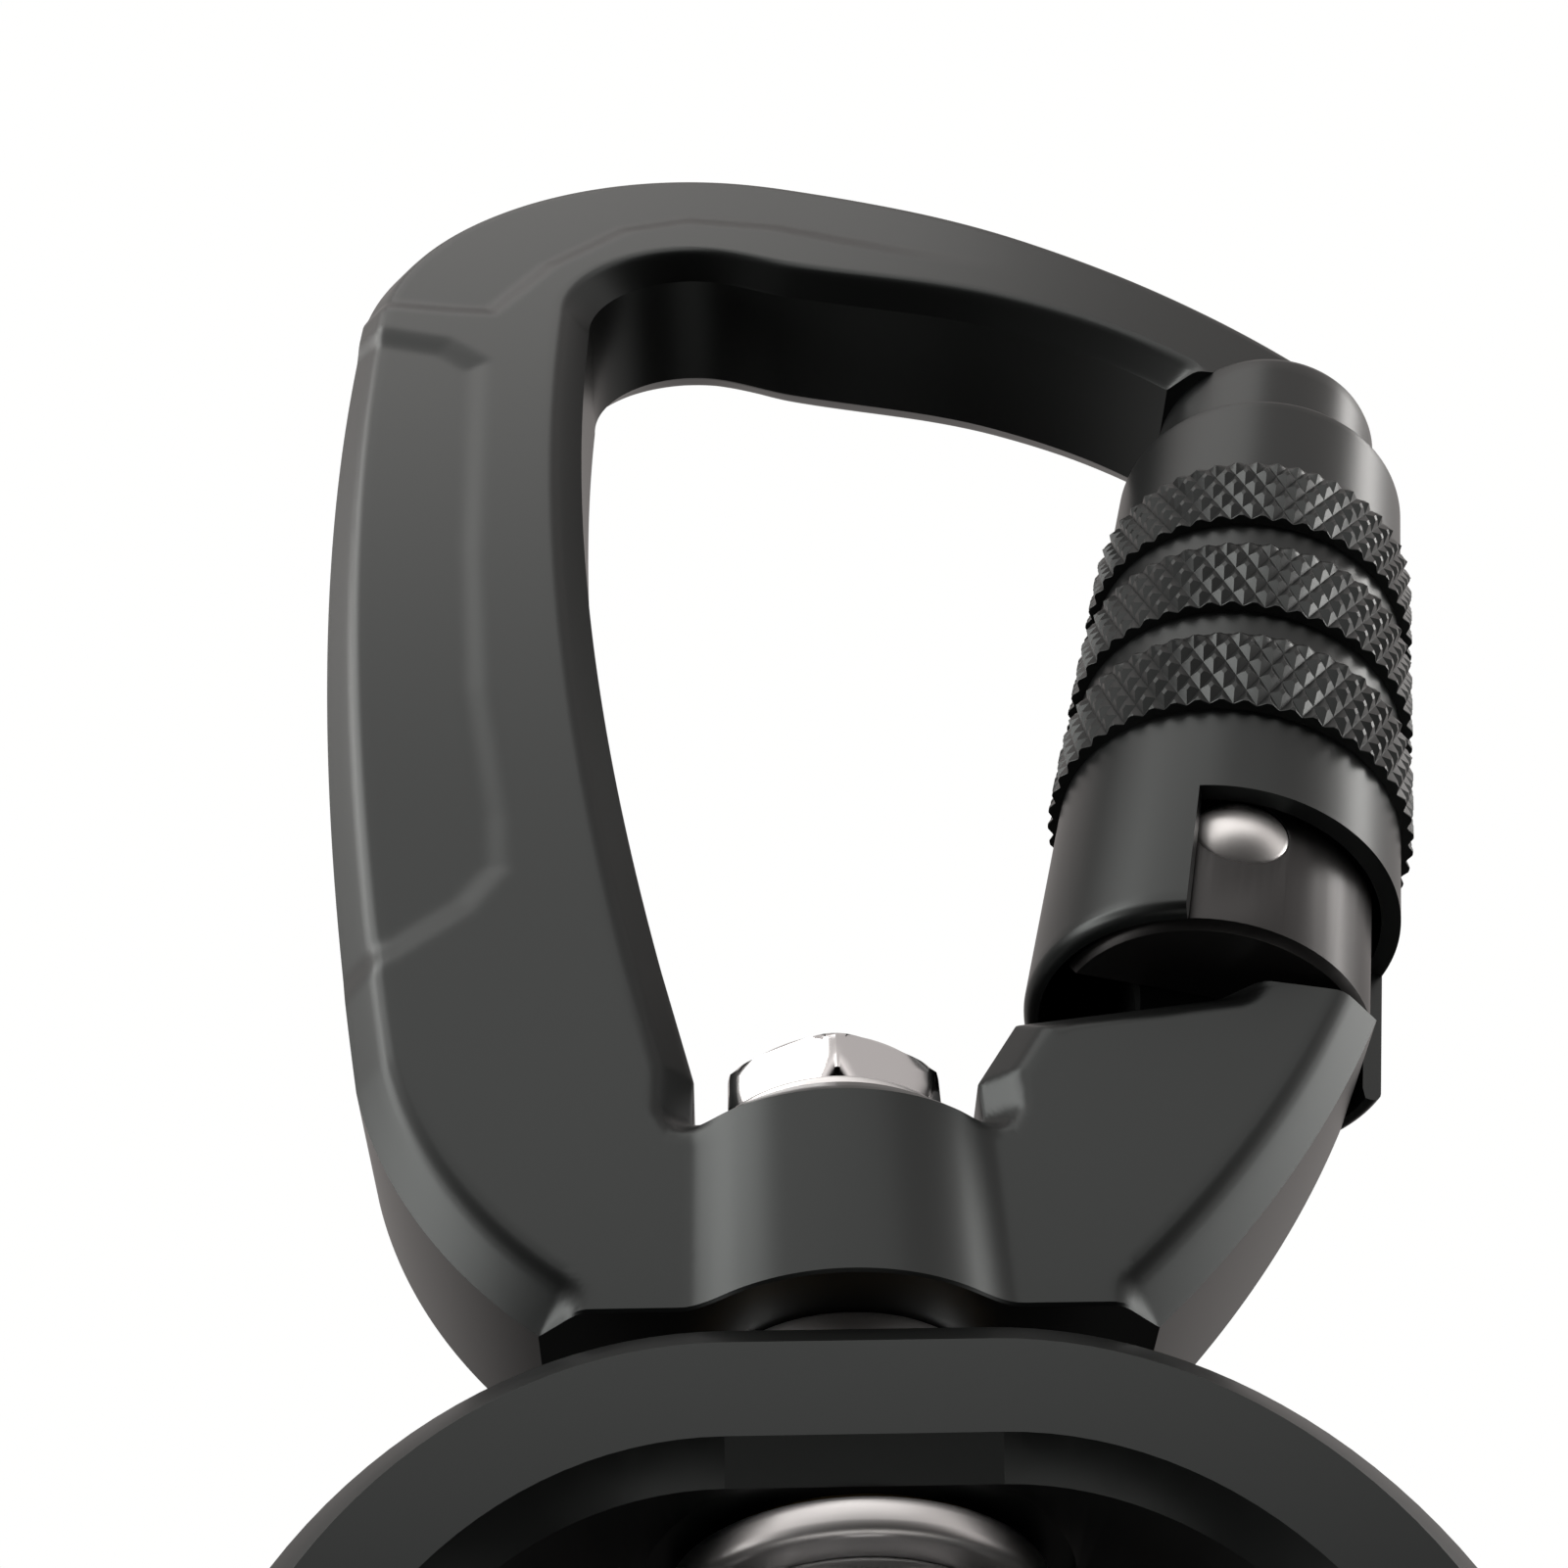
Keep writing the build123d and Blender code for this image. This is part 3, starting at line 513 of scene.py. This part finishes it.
def sleeve_shell(gate):
    """Thin shell on a grid of angle and height, outside and bore, without the cells of the cutaway and the
    window: x = r sin t, y = -r cos t, with r rounded to a quarter circle at both rims. A wall joins outside
    and bore wherever a kept cell meets a missing one."""
    circle, cells_round, bore_flare = 2 * math.pi, 200, 0.25
    cut_from, cut_to = gate.cut_start % circle, gate.cut_end
    window_from, window_to = gate.window_start, gate.window_end
    marks = np.array(sorted([0, cut_to, window_from, window_to, cut_from, circle]))
    parts = [np.linspace(a, b, max(2, int(round((b - a) / circle * cells_round)) + 1))[:-1]
             for a, b in zip(marks[:-1], marks[1:])]
    t = np.concatenate(parts)
    bottom, top, rim = -gate.sleeve_bottom, gate.nose_low, gate.rim_round
    edge = rim * (1 - np.cos(np.linspace(0, np.pi / 2, 6)))
    z = np.concatenate([bottom + edge, np.linspace(bottom + 2 * rim, gate.cut_top, 12),
                        np.linspace(gate.cut_top, gate.window_low, 34)[1:],
                        np.linspace(gate.window_low, top - 2 * rim, 10)[1:], (top - edge)[::-1]])
    inset = np.clip(rim - np.minimum(z - bottom, top - z), 0, None)
    outside = gate.sleeve_radius - rim + np.sqrt(np.clip(rim**2 - inset**2, 0, None))
    bore = gate.sleeve_bore + bore_flare * inset
    rows, columns = len(t), len(z)

    def surface(radius):
        x = radius[None, :] * np.sin(t)[:, None]
        y = -radius[None, :] * np.cos(t)[:, None]
        return np.stack([x, y, np.repeat(z[None, :], rows, 0)], -1).reshape(-1, 3)

    middle_t = (t + np.append(t[1:], circle)) / 2
    middle_z = (z[:-1] + z[1:]) / 2
    in_cutaway = ((middle_t > cut_from) | (middle_t < cut_to))[:, None]
    in_window = ((middle_t > window_from) & (middle_t < window_to))[:, None]
    low = (middle_z < gate.cut_top)[None, :] & in_cutaway
    high = (middle_z > gate.window_low)[None, :] & in_window
    kept = ~(low | high)
    i, j = np.nonzero(kept)
    after = (i + 1) % rows
    a, b, c, d = i * columns + j, after * columns + j, after * columns + j + 1, i * columns + j + 1
    shift = rows * columns
    quads = [np.stack([a, b, c, d], -1), shift + np.stack([d, c, b, a], -1)]
    padded = np.zeros((rows, columns + 1), bool)
    padded[:, 1:-1] = kept
    open_low = ~padded[i, j]
    open_high = ~padded[i, j + 2]
    open_left = ~kept[i - 1, j]
    open_right = ~kept[after, j]
    for test, p, q in ((open_low, b, a), (open_high, d, c), (open_left, a, d), (open_right, c, b)):
        quads.append(np.stack([p, q, q + shift, p + shift], -1)[test])
    return np.concatenate([surface(outside), surface(bore)]), np.concatenate(quads)


def knurl_band(gate, index):
    """One band: a ring whose outer radius is R + h - g (1 - w), w = min(tri a, tri b) cut flat at the
    diamonds' tops, where a and b are the two helix counters n t / 2 pi +- z / pitch and tri is a sharp wave.
    The grid has equal steps to a diamond each way, and every cell is split along the helix that is nearer to
    its groove. Where the latch window takes the top of a band, the band is squeezed to end below it."""
    steps, flat_top, lip, seal = 8, 0.75, 0.00005, 0.00002
    rim_slope, rim_share, buried = 0.0005, 0.25, 0.0003
    turns = gate.knurl_count * steps
    t = np.arange(turns) / turns * 2 * np.pi
    low = gate.band_low + index * gate.band_pitch
    pitch = gate.knurl_pitch / steps
    rows = int((gate.band_length - 4 * lip) / pitch)
    z = np.concatenate([[0.0], lip + np.arange(rows + 1) * pitch, [gate.band_length]])
    counter = np.arange(turns)[:, None] / steps
    climb = (z[None, :] - lip) / gate.knurl_pitch
    tri_a = 1 - 2 * np.abs((counter + climb) % 1 - 0.5)
    tri_b = 1 - 2 * np.abs((counter - climb) % 1 - 0.5)
    relief = np.minimum(np.minimum(tri_a, tri_b), flat_top) / flat_top
    height = gate.knurl_height * np.clip((gate.band_length - z) / rim_slope, rim_share, 1)
    groove = gate.knurl_groove * (1 - relief) * (height / height.max())[None, :]
    r = gate.sleeve_radius + height[None, :] - groove
    ceiling = gate.window_low - low
    squeeze = np.where((t > gate.window_start) & (t < gate.window_end) & (ceiling < gate.band_length),
                       ceiling / gate.band_length, 1)
    height_z = low + z[None, :] * squeeze[:, None]
    outside = np.stack([r * np.sin(t)[:, None], -r * np.cos(t)[:, None], height_z], -1)
    hidden = gate.sleeve_radius - buried
    ends = [np.stack([hidden * np.sin(t), -hidden * np.cos(t), z_end], -1)[:, None]
            for z_end in (height_z[:, -1] - seal, height_z[:, 0] + seal)]
    points = np.concatenate([outside, *ends], 1)
    columns = points.shape[1]
    quads = grid_quads(turns, columns, closed_rows=True, closed_columns=True)
    quads = quads.reshape(turns, columns, 4)
    outer_cells = quads[:, :columns - 3].reshape(-1, 4)
    middle_t = counter + 0.5 / steps
    middle_climb = (climb[:, :-1] + climb[:, 1:]) / 2
    middle_a = (middle_t + middle_climb) % 1
    middle_b = (middle_t - middle_climb) % 1
    near_a = (np.abs(middle_a - 0.5) > np.abs(middle_b - 0.5)).reshape(-1, 1)
    a, b, c, d = outer_cells.T
    first = np.where(near_a, np.stack([a, d, b], -1), np.stack([a, c, b], -1))
    second = np.where(near_a, np.stack([d, c, b], -1), np.stack([a, d, c], -1))
    triangles = np.concatenate([first, second])
    return points.reshape(-1, 3), quads[:, columns - 3:].reshape(-1, 4)[:, ::-1], triangles


# ---------------------------------------------------------------- turned and hexagonal parts

def hex_reach(flats):
    """Radius limit of a hexagon with two flats facing X: apothem / cos of the angle from the nearest flat,
    softened where the radius crosses from the turned shape to a flat."""
    soften = 0.00035

    def reach(t, r):
        away = (t + np.pi / 6) % (np.pi / 3) - np.pi / 6
        limit = flats / 2 / np.cos(away)
        return np.maximum(soft_min(r, np.broadcast_to(limit, r.shape), soften), 1e-5)
    return reach


def bolt_outline(sizes, head_low, head_top, end):
    """Half section of the bolt from the end of the thread up the shank to the crowned head."""
    r, cut = sizes.shank_radius, sizes.corner_cut
    lead_in, crest_gap = 0.0012, 0.00002
    corner = sizes.head_flats / 2 / math.cos(math.pi / 6)
    crests = []
    z = end + lead_in
    while z < end + sizes.thread_length:
        crests += [(r - crest_gap, z), (r - sizes.thread_depth, z + sizes.thread_pitch / 2)]
        z += sizes.thread_pitch
    points = [(1e-5, end), (r - 0.0011, end), (r - 0.0008, end + 0.0002)] + crests + [(r, z)]
    points += [(r, head_low), (corner - 0.0009, head_low), (corner - 0.0003, head_low + 0.00035)]
    points += [(corner, head_low + 0.0008), (corner, head_low + 0.0016), (corner, head_top - 0.0012)]
    points += [(corner - 0.15 * cut, head_top - 0.0008), (corner - 0.7 * cut, head_top - 0.00048),
               (corner - 1.5 * cut, head_top - 0.00020), (corner - 2.2 * cut, head_top - 0.00006),
               (corner - 3.0 * cut, head_top), (corner * 0.4, head_top), (1e-5, head_top)]
    return points


def nut_outline(sizes, low, high):
    """Half section of the nut: both ends turned off, bored, with a counterbore for the insert."""
    corner = sizes.nut_flats / 2 / math.cos(math.pi / 6)
    cup_depth = 0.0016
    bore = sizes.shank_radius + sizes.bore_gap
    cup = sizes.shank_radius + 0.0013
    cut = sizes.corner_cut
    return [(bore, high), (bore, low + cup_depth), (cup, low + cup_depth), (cup, low + 0.0001),
            (cup + 0.0001, low),
            (corner - 2.6 * cut, low), (corner - 1.7 * cut, low + 0.0001), (corner - 0.7 * cut, low + 0.0006),
            (corner - 0.1 * cut, low + 0.0010), (corner, low + 0.0014), (corner, (low + high) / 2),
            (corner, high - 0.0014), (corner - 0.1 * cut, high - 0.0010), (corner - 0.7 * cut, high - 0.0006),
            (corner - 1.7 * cut, high - 0.0001), (corner - 2.6 * cut, high)]


def rivet_surface(gate):
    """The rivet: a shank across the gate with a low domed head at each end, turned about the hinge axis."""
    turns, sunk, dome = 96, 0.00035, 0.0008
    r, head = gate.rivet_radius, gate.rivet_head
    edge = gate.barrel_radius - sunk
    crown = [(head * a, edge + dome * (1 - a * a)) for a in (0.96, 0.9, 0.8, 0.65, 0.5, 0.35, 0.2, 0.08)]
    side = [(r, 0.0), (r, edge - 0.0010), (head - 0.0001, edge - 0.0009), (head, edge - 0.0008),
            (head, edge - 0.0001)] + crown + [(1e-5, edge + dome)]
    outline = np.array([(a, -b) for a, b in side[::-1]] + side[1:])
    t = np.arange(turns) / turns * 2 * np.pi
    radii = outline[None, :, 0]
    points = np.stack([radii * np.cos(t)[:, None], np.repeat(outline[None, :, 1], turns, 0),
                       radii * np.sin(t)[:, None]], -1).reshape(-1, 3)
    count = len(outline)
    quads = grid_quads(turns, count, closed_rows=True)[:, ::-1]
    front = [k * count for k in range(turns)]
    back = [k * count + count - 1 for k in range(turns)][::-1]
    return points, quads, [front, back]


# ---------------------------------------------------------------- finishes

def link(tree, a, b):
    """Join two sockets."""
    tree.links.new(a, b)


def make_finish(name, tint, metallic, rough, grain, mottle=0.25, bump=0.12, turned=0.0):
    """A finish: colour and roughness vary with one broad noise, and the relief is fine grain, with concentric
    tool marks about Z where the part is turned."""
    broad_ratio, fine_height, mark_height = 14, 0.00004, 0.00003
    noise_low, noise_high = 0.3, 0.7
    finish = bpy.data.materials.new(name)
    finish.use_nodes = True
    tree = finish.node_tree
    shader = tree.nodes["Principled BSDF"]
    shader.inputs["Metallic"].default_value = metallic
    place = tree.nodes.new("ShaderNodeTexCoord")
    broad = tree.nodes.new("ShaderNodeTexNoise")
    broad.inputs["Scale"].default_value = grain / broad_ratio
    broad.inputs["Detail"].default_value = 5
    link(tree, place.outputs["Object"], broad.inputs["Vector"])
    ramp = tree.nodes.new("ShaderNodeValToRGB")
    ramp.color_ramp.elements[0].position = noise_low
    ramp.color_ramp.elements[1].position = noise_high
    tint = np.array(tint)
    ramp.color_ramp.elements[0].color = (*(tint * (1 - mottle)), 1)
    ramp.color_ramp.elements[1].color = (*np.minimum(tint * (1 + mottle), 1), 1)
    link(tree, broad.outputs["Fac"], ramp.inputs["Fac"])
    link(tree, ramp.outputs["Color"], shader.inputs["Base Color"])
    fine = tree.nodes.new("ShaderNodeTexNoise")
    fine.inputs["Scale"].default_value = grain
    fine.inputs["Detail"].default_value = 3
    link(tree, place.outputs["Object"], fine.inputs["Vector"])
    spread = tree.nodes.new("ShaderNodeMapRange")
    spread.inputs["To Min"].default_value = rough[0]
    spread.inputs["To Max"].default_value = rough[1]
    spread.inputs["From Min"].default_value = noise_low
    spread.inputs["From Max"].default_value = noise_high
    link(tree, broad.outputs["Fac"], spread.inputs["Value"])
    link(tree, spread.outputs["Result"], shader.inputs["Roughness"])
    relief = tree.nodes.new("ShaderNodeBump")
    relief.inputs["Strength"].default_value = bump
    relief.inputs["Distance"].default_value = fine_height
    link(tree, fine.outputs["Fac"], relief.inputs["Height"])
    last = relief
    if turned:
        marks = tree.nodes.new("ShaderNodeTexWave")
        marks.wave_type = "RINGS"
        marks.rings_direction = "Z"
        marks.inputs["Scale"].default_value = 700
        marks.inputs["Distortion"].default_value = 0.6
        marks.inputs["Detail"].default_value = 2
        link(tree, place.outputs["Object"], marks.inputs["Vector"])
        rings = tree.nodes.new("ShaderNodeBump")
        rings.inputs["Strength"].default_value = turned
        rings.inputs["Distance"].default_value = mark_height
        link(tree, marks.outputs["Fac"], rings.inputs["Height"])
        link(tree, relief.outputs["Normal"], rings.inputs["Normal"])
        last = rings
    link(tree, last.outputs["Normal"], shader.inputs["Normal"])
    return finish


def finish_of(name):
    """A finish by its slot name, made on first use."""
    found = bpy.data.materials.get(name)
    if found:
        return found
    c = bpy.context.scene.carabiner_colours
    made = {
        "frame_black": dict(tint=c.coat, metallic=0, rough=(0.30, 0.38), grain=5200, bump=0.30, mottle=0.12),
        "eye_black": dict(tint=c.coat, metallic=0, rough=(0.27, 0.35), grain=5200, bump=0.30, mottle=0.12),
        "sleeve_black": dict(tint=c.anodised, metallic=0, rough=(0.20, 0.28), grain=4200, bump=0.10,
                             mottle=0.15),
        "barrel_black": dict(tint=c.barrel, metallic=0, rough=(0.20, 0.30), grain=4200, bump=0.08,
                             mottle=0.2),
        "bolt_steel": dict(tint=c.zinc, metallic=0.75, rough=(0.16, 0.28), grain=2600, bump=0.5, mottle=0.10),
        "washer_steel": dict(tint=c.zinc, metallic=0.5, rough=(0.20, 0.32), grain=3000, bump=0.15,
                             mottle=0.08, turned=0.5),
        # Rivet finish: not metal, a near-white matte whose brightness is painted reflection in place of the
        # polished heads' highlight.
        "rivet_steel": dict(tint=c.rivet, metallic=0, rough=(0.50, 0.60), grain=3000, bump=0.1,
                            mottle=0.04),
        "spring_steel": dict(tint=c.spring, metallic=1, rough=(0.25, 0.4), grain=3000, bump=0.15),
        "bush_bronze": dict(tint=c.bronze, metallic=1, rough=(0.3, 0.45), grain=3000, bump=0.2, turned=0.4),
        "insert_nylon": dict(tint=c.nylon, metallic=0, rough=(0.45, 0.6), grain=2000, bump=0.2, mottle=0.06),
    }
    return make_finish(name, **made[name])


def dress_node(node, slot, width=0.0):
    """Give a CAD node its finish, and round its edges a little if width is set."""
    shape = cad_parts[node]
    shape.data.materials.clear()
    shape.data.materials.append(finish_of(slot))
    if width:
        weld = shape.modifiers.new("weld", "WELD")
        weld.merge_threshold = 0.000004
        flat = shape.modifiers.new("flat", "DECIMATE")
        flat.decimate_type = "DISSOLVE"
        flat.angle_limit = math.radians(0.6)
        round_edges = shape.modifiers.new("round", "BEVEL")
        round_edges.width = width
        round_edges.segments = 3
        round_edges.limit_method = "ANGLE"
        round_edges.angle_limit = math.radians(28)
        round_edges.harden_normals = True


# ---------------------------------------------------------------- operators

class OBJECT_OT_carabiner_bar(Operator):
    """Build the forged bar with its boss, nose, latch tongue and hinge tongue"""
    bl_idname = "object.carabiner_bar"
    bl_label = "Forged bar"

    def execute(self, context):
        sizes, gate = context.scene.carabiner_bar, context.scene.carabiner_gate
        coat = finish_of("frame_black")
        points, quads, others = bar_surface(sizes, gate)
        add_mesh("forged_bar", points, quads, others, "frame", coat, ["carabiner_frame"], 26)
        half, low, high = gate.latch_half, gate.nose_low - gate.latch_reach, gate.nose_low + gate.latch_root
        latch = [(-half, low), (half, low), (half, high), (-half, high)]
        latch_corner, hinge_corner = 0.0006, 0.001
        hinge = [(-0.0048, 0.0046), (-0.0048, -0.002), (-0.0036, -0.008), (-0.0036, -0.012), (0.0048, -0.012),
                 (0.0048, 0.0046)]
        pieces = {"nose_cylinder": nose_surface(gate),
                  "latch_tongue": prism(latch, gate.latch_depth, latch_corner, gate.tongue_bevel),
                  "hinge_tongue": prism(hinge, gate.hinge_depth, hinge_corner, gate.tongue_bevel)}
        for name, (points, quads, others) in pieces.items():
            add_mesh(name, to_gate(points, gate), quads, others, "frame", coat,
                     ["carabiner_frame"])
        return {"FINISHED"}


class OBJECT_OT_carabiner_sleeve(Operator):
    """Build the locking sleeve and its three knurled bands"""
    bl_idname = "object.carabiner_sleeve"
    bl_label = "Locking sleeve"

    def execute(self, context):
        gate = context.scene.carabiner_gate
        finish = finish_of("sleeve_black")
        points, quads = sleeve_shell(gate)
        add_mesh("sleeve_shell", to_gate(points, gate), quads, [], "sleeve", finish,
                 ["locking_sleeve"])
        for index in range(3):
            points, quads, triangles = knurl_band(gate, index)
            add_mesh(f"knurl_band_{index + 1}", to_gate(points, gate), quads, triangles.tolist(), "sleeve",
                     finish, ["locking_sleeve"], 24)
        return {"FINISHED"}


class OBJECT_OT_carabiner_gate(Operator):
    """Finish the gate's core, rivet, plunger, springs, ring and pin"""
    bl_idname = "object.carabiner_gate"
    bl_label = "Gate core"

    def execute(self, context):
        gate = context.scene.carabiner_gate
        dress_node("gate_barrel", "barrel_black", 0.0002)
        points, quads, others = rivet_surface(gate)
        add_mesh("rivet_with_heads", to_gate(points, gate), quads, others, "gate", finish_of("rivet_steel"),
                 ["gate_rivet"], 50)
        for node in ("gate_plunger", "retaining_ring"):
            dress_node(node, "spring_steel", 0.0001)
        for node in ("guide_pin", "gate_spring", "sleeve_spring"):
            dress_node(node, "spring_steel")
        return {"FINISHED"}


class OBJECT_OT_carabiner_swivel(Operator):
    """Build the bolt, washers, bushes and nut of the swivel"""
    bl_idname = "object.carabiner_swivel"
    bl_label = "Swivel stack"

    def execute(self, context):
        sizes = context.scene.carabiner_swivel
        steel = finish_of("bolt_steel")
        low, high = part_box("swivel_bolt")
        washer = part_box("head_washer")[1][2]
        outline = bolt_outline(sizes, washer, high[2], low[2])
        points, quads = revolved(outline, 240, self.head_only(sizes, washer))
        # The outline starts and ends on the axis, so the quads that would close it are left out
        spot = quads % len(outline)
        quads = quads[spot.max(1) - spot.min(1) <= 1]
        add_mesh("hex_bolt", points, quads, [], "frame", steel, ["swivel_bolt"], 24)
        low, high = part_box("swivel_nut")
        points, quads = revolved(nut_outline(sizes, low[2], high[2]), 240, hex_reach(sizes.nut_flats))
        add_mesh("lock_nut", points, quads, [], "frame", steel, ["swivel_nut"], 24)
        rings = [("head_washer", "washer_steel", 0.0003), ("thrust_collar", "washer_steel", 0.0004),
                 ("lower_washer", "washer_steel", 0.0005), ("nut_ring", "washer_steel", 0.0002),
                 ("spacer_sleeve", "washer_steel", 0.0001), ("nut_insert", "insert_nylon", 0.0002)]
        bore = sizes.shank_radius + sizes.bore_gap
        for node, slot, rounding in rings:
            low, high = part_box(node)
            points, quads = revolved(ring_outline(bore, high[0], low[2], high[2], rounding))
            add_mesh(node + "_turned", points, quads, [], "frame", finish_of(slot), [node], 40)
        dress_node("upper_eye_bush", "bush_bronze")
        dress_node("lower_eye_bush", "bush_bronze")
        return {"FINISHED"}

    @staticmethod
    def head_only(sizes, head_low):
        """Hexagon limit for radii beyond the shank, so the shank stays round."""
        limit = hex_reach(sizes.head_flats)
        shank = sizes.shank_radius + 0.0002
        return lambda t, r: np.where(r > shank, limit(t, r), r)


class OBJECT_OT_carabiner_eye(Operator):
    """Finish the load eye that turns on the swivel bolt"""
    bl_idname = "object.carabiner_eye"
    bl_label = "Load eye"

    def execute(self, context):
        dress_node("load_eye", "eye_black", 0.0003)
        return {"FINISHED"}


class OBJECT_OT_carabiner_stage(Operator):
    """Add the floor, the studio world, the lights and the camera"""
    bl_idname = "object.carabiner_stage"
    bl_label = "Stage and camera"

    def execute(self, context):
        scene = context.scene
        self.add_floor(scene)
        self.add_world(scene)
        self.add_light(scene, "front_top_box", (-0.10, -0.30, 0.55), 0.4, 0.3, 0.5)
        self.add_light(scene, "front_low_box", (0.0, -0.50, 0.27), 0.6, 0.2, 0.35)
        self.add_light(scene, "left_box", (-0.42, -0.26, 0.40), 0.22, 0.30, 0.9)
        self.add_light(scene, "left_strip", (-0.45, -0.10, 0.05), 0.08, 0.6, 1.2)
        self.add_light(scene, "right_strip", (0.42, -0.02, 0.05), 0.08, 0.6, 1.2)
        self.add_camera(scene)
        scene.view_settings.view_transform = "Standard"
        return {"FINISHED"}

    @staticmethod
    def add_floor(scene):
        """A plain pale square below the object."""
        half, drop = 0.20, 0.50
        points = [(x * half, y * half, -drop) for x, y in ((-1, -1), (1, -1), (1, 1), (-1, 1))]
        data = bpy.data.meshes.new("floor")
        data.from_pydata(points, [], [(0, 1, 2, 3)])
        floor = bpy.data.objects.new("floor", data)
        scene.collection.objects.link(floor)
        data.materials.append(make_finish("floor_pale", (0.86, 0.86, 0.85), 0, (0.6, 0.7), 200, 0.01, 0.02))

    @staticmethod
    def add_world(scene):
        """White studio, seen as plain white by the camera, that is dark low in front and low behind, so
        chamfers and undersides that face those ways read black: each zone is a ramp over the cosine of the
        angle from its direction, in a slightly warm grey, and the two are multiplied."""
        warm = (1.0, 0.965, 0.95)
        world = bpy.data.worlds.new("studio")
        world.use_nodes = True
        tree = world.node_tree
        back = tree.nodes["Background"]
        place = tree.nodes.new("ShaderNodeTexCoord")
        zones = (((0.0, -0.80, -0.60), ((0.0, 0.54), (0.28, 1.0), (0.54, 0.0), (1.0, 0.0))),
                 ((0.0, 0.55, -0.83), ((0.0, 1.0), (0.30, 0.9), (0.62, 0.08), (1.0, 0.03))))
        shades = []
        for direction, levels in zones:
            aim = tree.nodes.new("ShaderNodeVectorMath")
            aim.operation = "DOT_PRODUCT"
            aim.inputs[1].default_value = Vector(direction).normalized()
            link(tree, place.outputs["Generated"], aim.inputs[0])
            ramp = tree.nodes.new("ShaderNodeValToRGB")
            stops = ramp.color_ramp.elements
            for index, (at, value) in enumerate(levels):
                stop = stops[0] if index == 0 else stops[-1] if at == 1.0 else stops.new(at)
                stop.position = at
                stop.color = (*(value * part for part in warm), 1)
            link(tree, aim.outputs["Value"], ramp.inputs["Fac"])
            shades.append(ramp)
        both = tree.nodes.new("ShaderNodeMix")
        both.data_type = "RGBA"
        both.blend_type = "MULTIPLY"
        both.inputs["Factor"].default_value = 1.0
        link(tree, shades[0].outputs["Color"], both.inputs["A"])
        link(tree, shades[1].outputs["Color"], both.inputs["B"])
        path = tree.nodes.new("ShaderNodeLightPath")
        mix = tree.nodes.new("ShaderNodeMix")
        mix.data_type = "RGBA"
        link(tree, path.outputs["Is Camera Ray"], mix.inputs["Factor"])
        link(tree, both.outputs["Result"], mix.inputs["A"])
        mix.inputs["B"].default_value = (1.0, 1.0, 0.995, 1)
        link(tree, mix.outputs["Result"], back.inputs["Color"])
        scene.world = world

    @staticmethod
    def add_light(scene, name, place, width, height, watts):
        """A soft rectangular light that faces the middle of the object."""
        data = bpy.data.lights.new(name, "AREA")
        data.shape = "RECTANGLE"
        data.size, data.size_y = width, height
        data.energy = watts
        data.color = WARM_WHITE
        light = bpy.data.objects.new(name, data)
        light.location = place
        aim = Vector((0, 0, -0.05)) - Vector(place)
        light.rotation_euler = aim.to_track_quat("-Z", "Y").to_euler()
        scene.collection.objects.link(light)

    @staticmethod
    def add_camera(scene):
        """Camera close below and in front, looking up at the object."""
        pitch, roll, yaw = math.radians(48.102), math.radians(-2.163), math.radians(-2.359)
        ahead = Vector((-math.sin(yaw) * math.cos(pitch), math.cos(yaw) * math.cos(pitch), math.sin(pitch)))
        level = Vector((math.cos(yaw), math.sin(yaw), 0))
        rise = level.cross(ahead)
        right = level * math.cos(roll) + rise * math.sin(roll)
        up = rise * math.cos(roll) - level * math.sin(roll)
        data = bpy.data.cameras.new("view")
        data.lens = 44.313
        data.sensor_width = 36
        data.clip_start = 0.005
        camera = bpy.data.objects.new("view", data)
        turn = Matrix((right, up, -ahead)).transposed()
        camera.matrix_world = Matrix.Translation((-0.004603, -0.071566, -0.128504)) @ turn.to_4x4()
        scene.collection.objects.link(camera)
        scene.camera = camera


class VIEW3D_PT_carabiner(Panel):
    """Lists the pieces that can be built"""
    bl_idname = "VIEW3D_PT_carabiner"
    bl_label = "Swivel carabiner"
    bl_space_type = "VIEW_3D"
    bl_region_type = "UI"
    bl_category = "Carabiner"

    def draw(self, context):
        for operator in OPERATORS:
            self.layout.operator(operator.bl_idname)


OPERATORS = (OBJECT_OT_carabiner_bar, OBJECT_OT_carabiner_sleeve, OBJECT_OT_carabiner_gate,
             OBJECT_OT_carabiner_swivel, OBJECT_OT_carabiner_eye, OBJECT_OT_carabiner_stage)
GROUPS = {"carabiner_bar": BarSizes, "carabiner_gate": GateSizes, "carabiner_swivel": SwivelSizes,
          "carabiner_colours": FinishColours}


def register():
    """Register the classes and hang the settings on the scene."""
    for group in GROUPS.values():
        bpy.utils.register_class(group)
    for operator in OPERATORS:
        bpy.utils.register_class(operator)
    bpy.utils.register_class(VIEW3D_PT_carabiner)
    for name, group in GROUPS.items():
        setattr(bpy.types.Scene, name, PointerProperty(type=group))


def unregister():
    """Take everything away again."""
    for name in GROUPS:
        delattr(bpy.types.Scene, name)
    bpy.utils.unregister_class(VIEW3D_PT_carabiner)
    for operator in reversed(OPERATORS):
        bpy.utils.unregister_class(operator)
    for group in reversed(list(GROUPS.values())):
        bpy.utils.unregister_class(group)


def main():
    """Build every piece."""
    register()
    bpy.ops.object.carabiner_bar()
    bpy.ops.object.carabiner_sleeve()
    bpy.ops.object.carabiner_gate()
    bpy.ops.object.carabiner_swivel()
    bpy.ops.object.carabiner_eye()
    bpy.ops.object.carabiner_stage()
    bpy.context.view_layer.update()


if __name__ == "__main__":
    main()
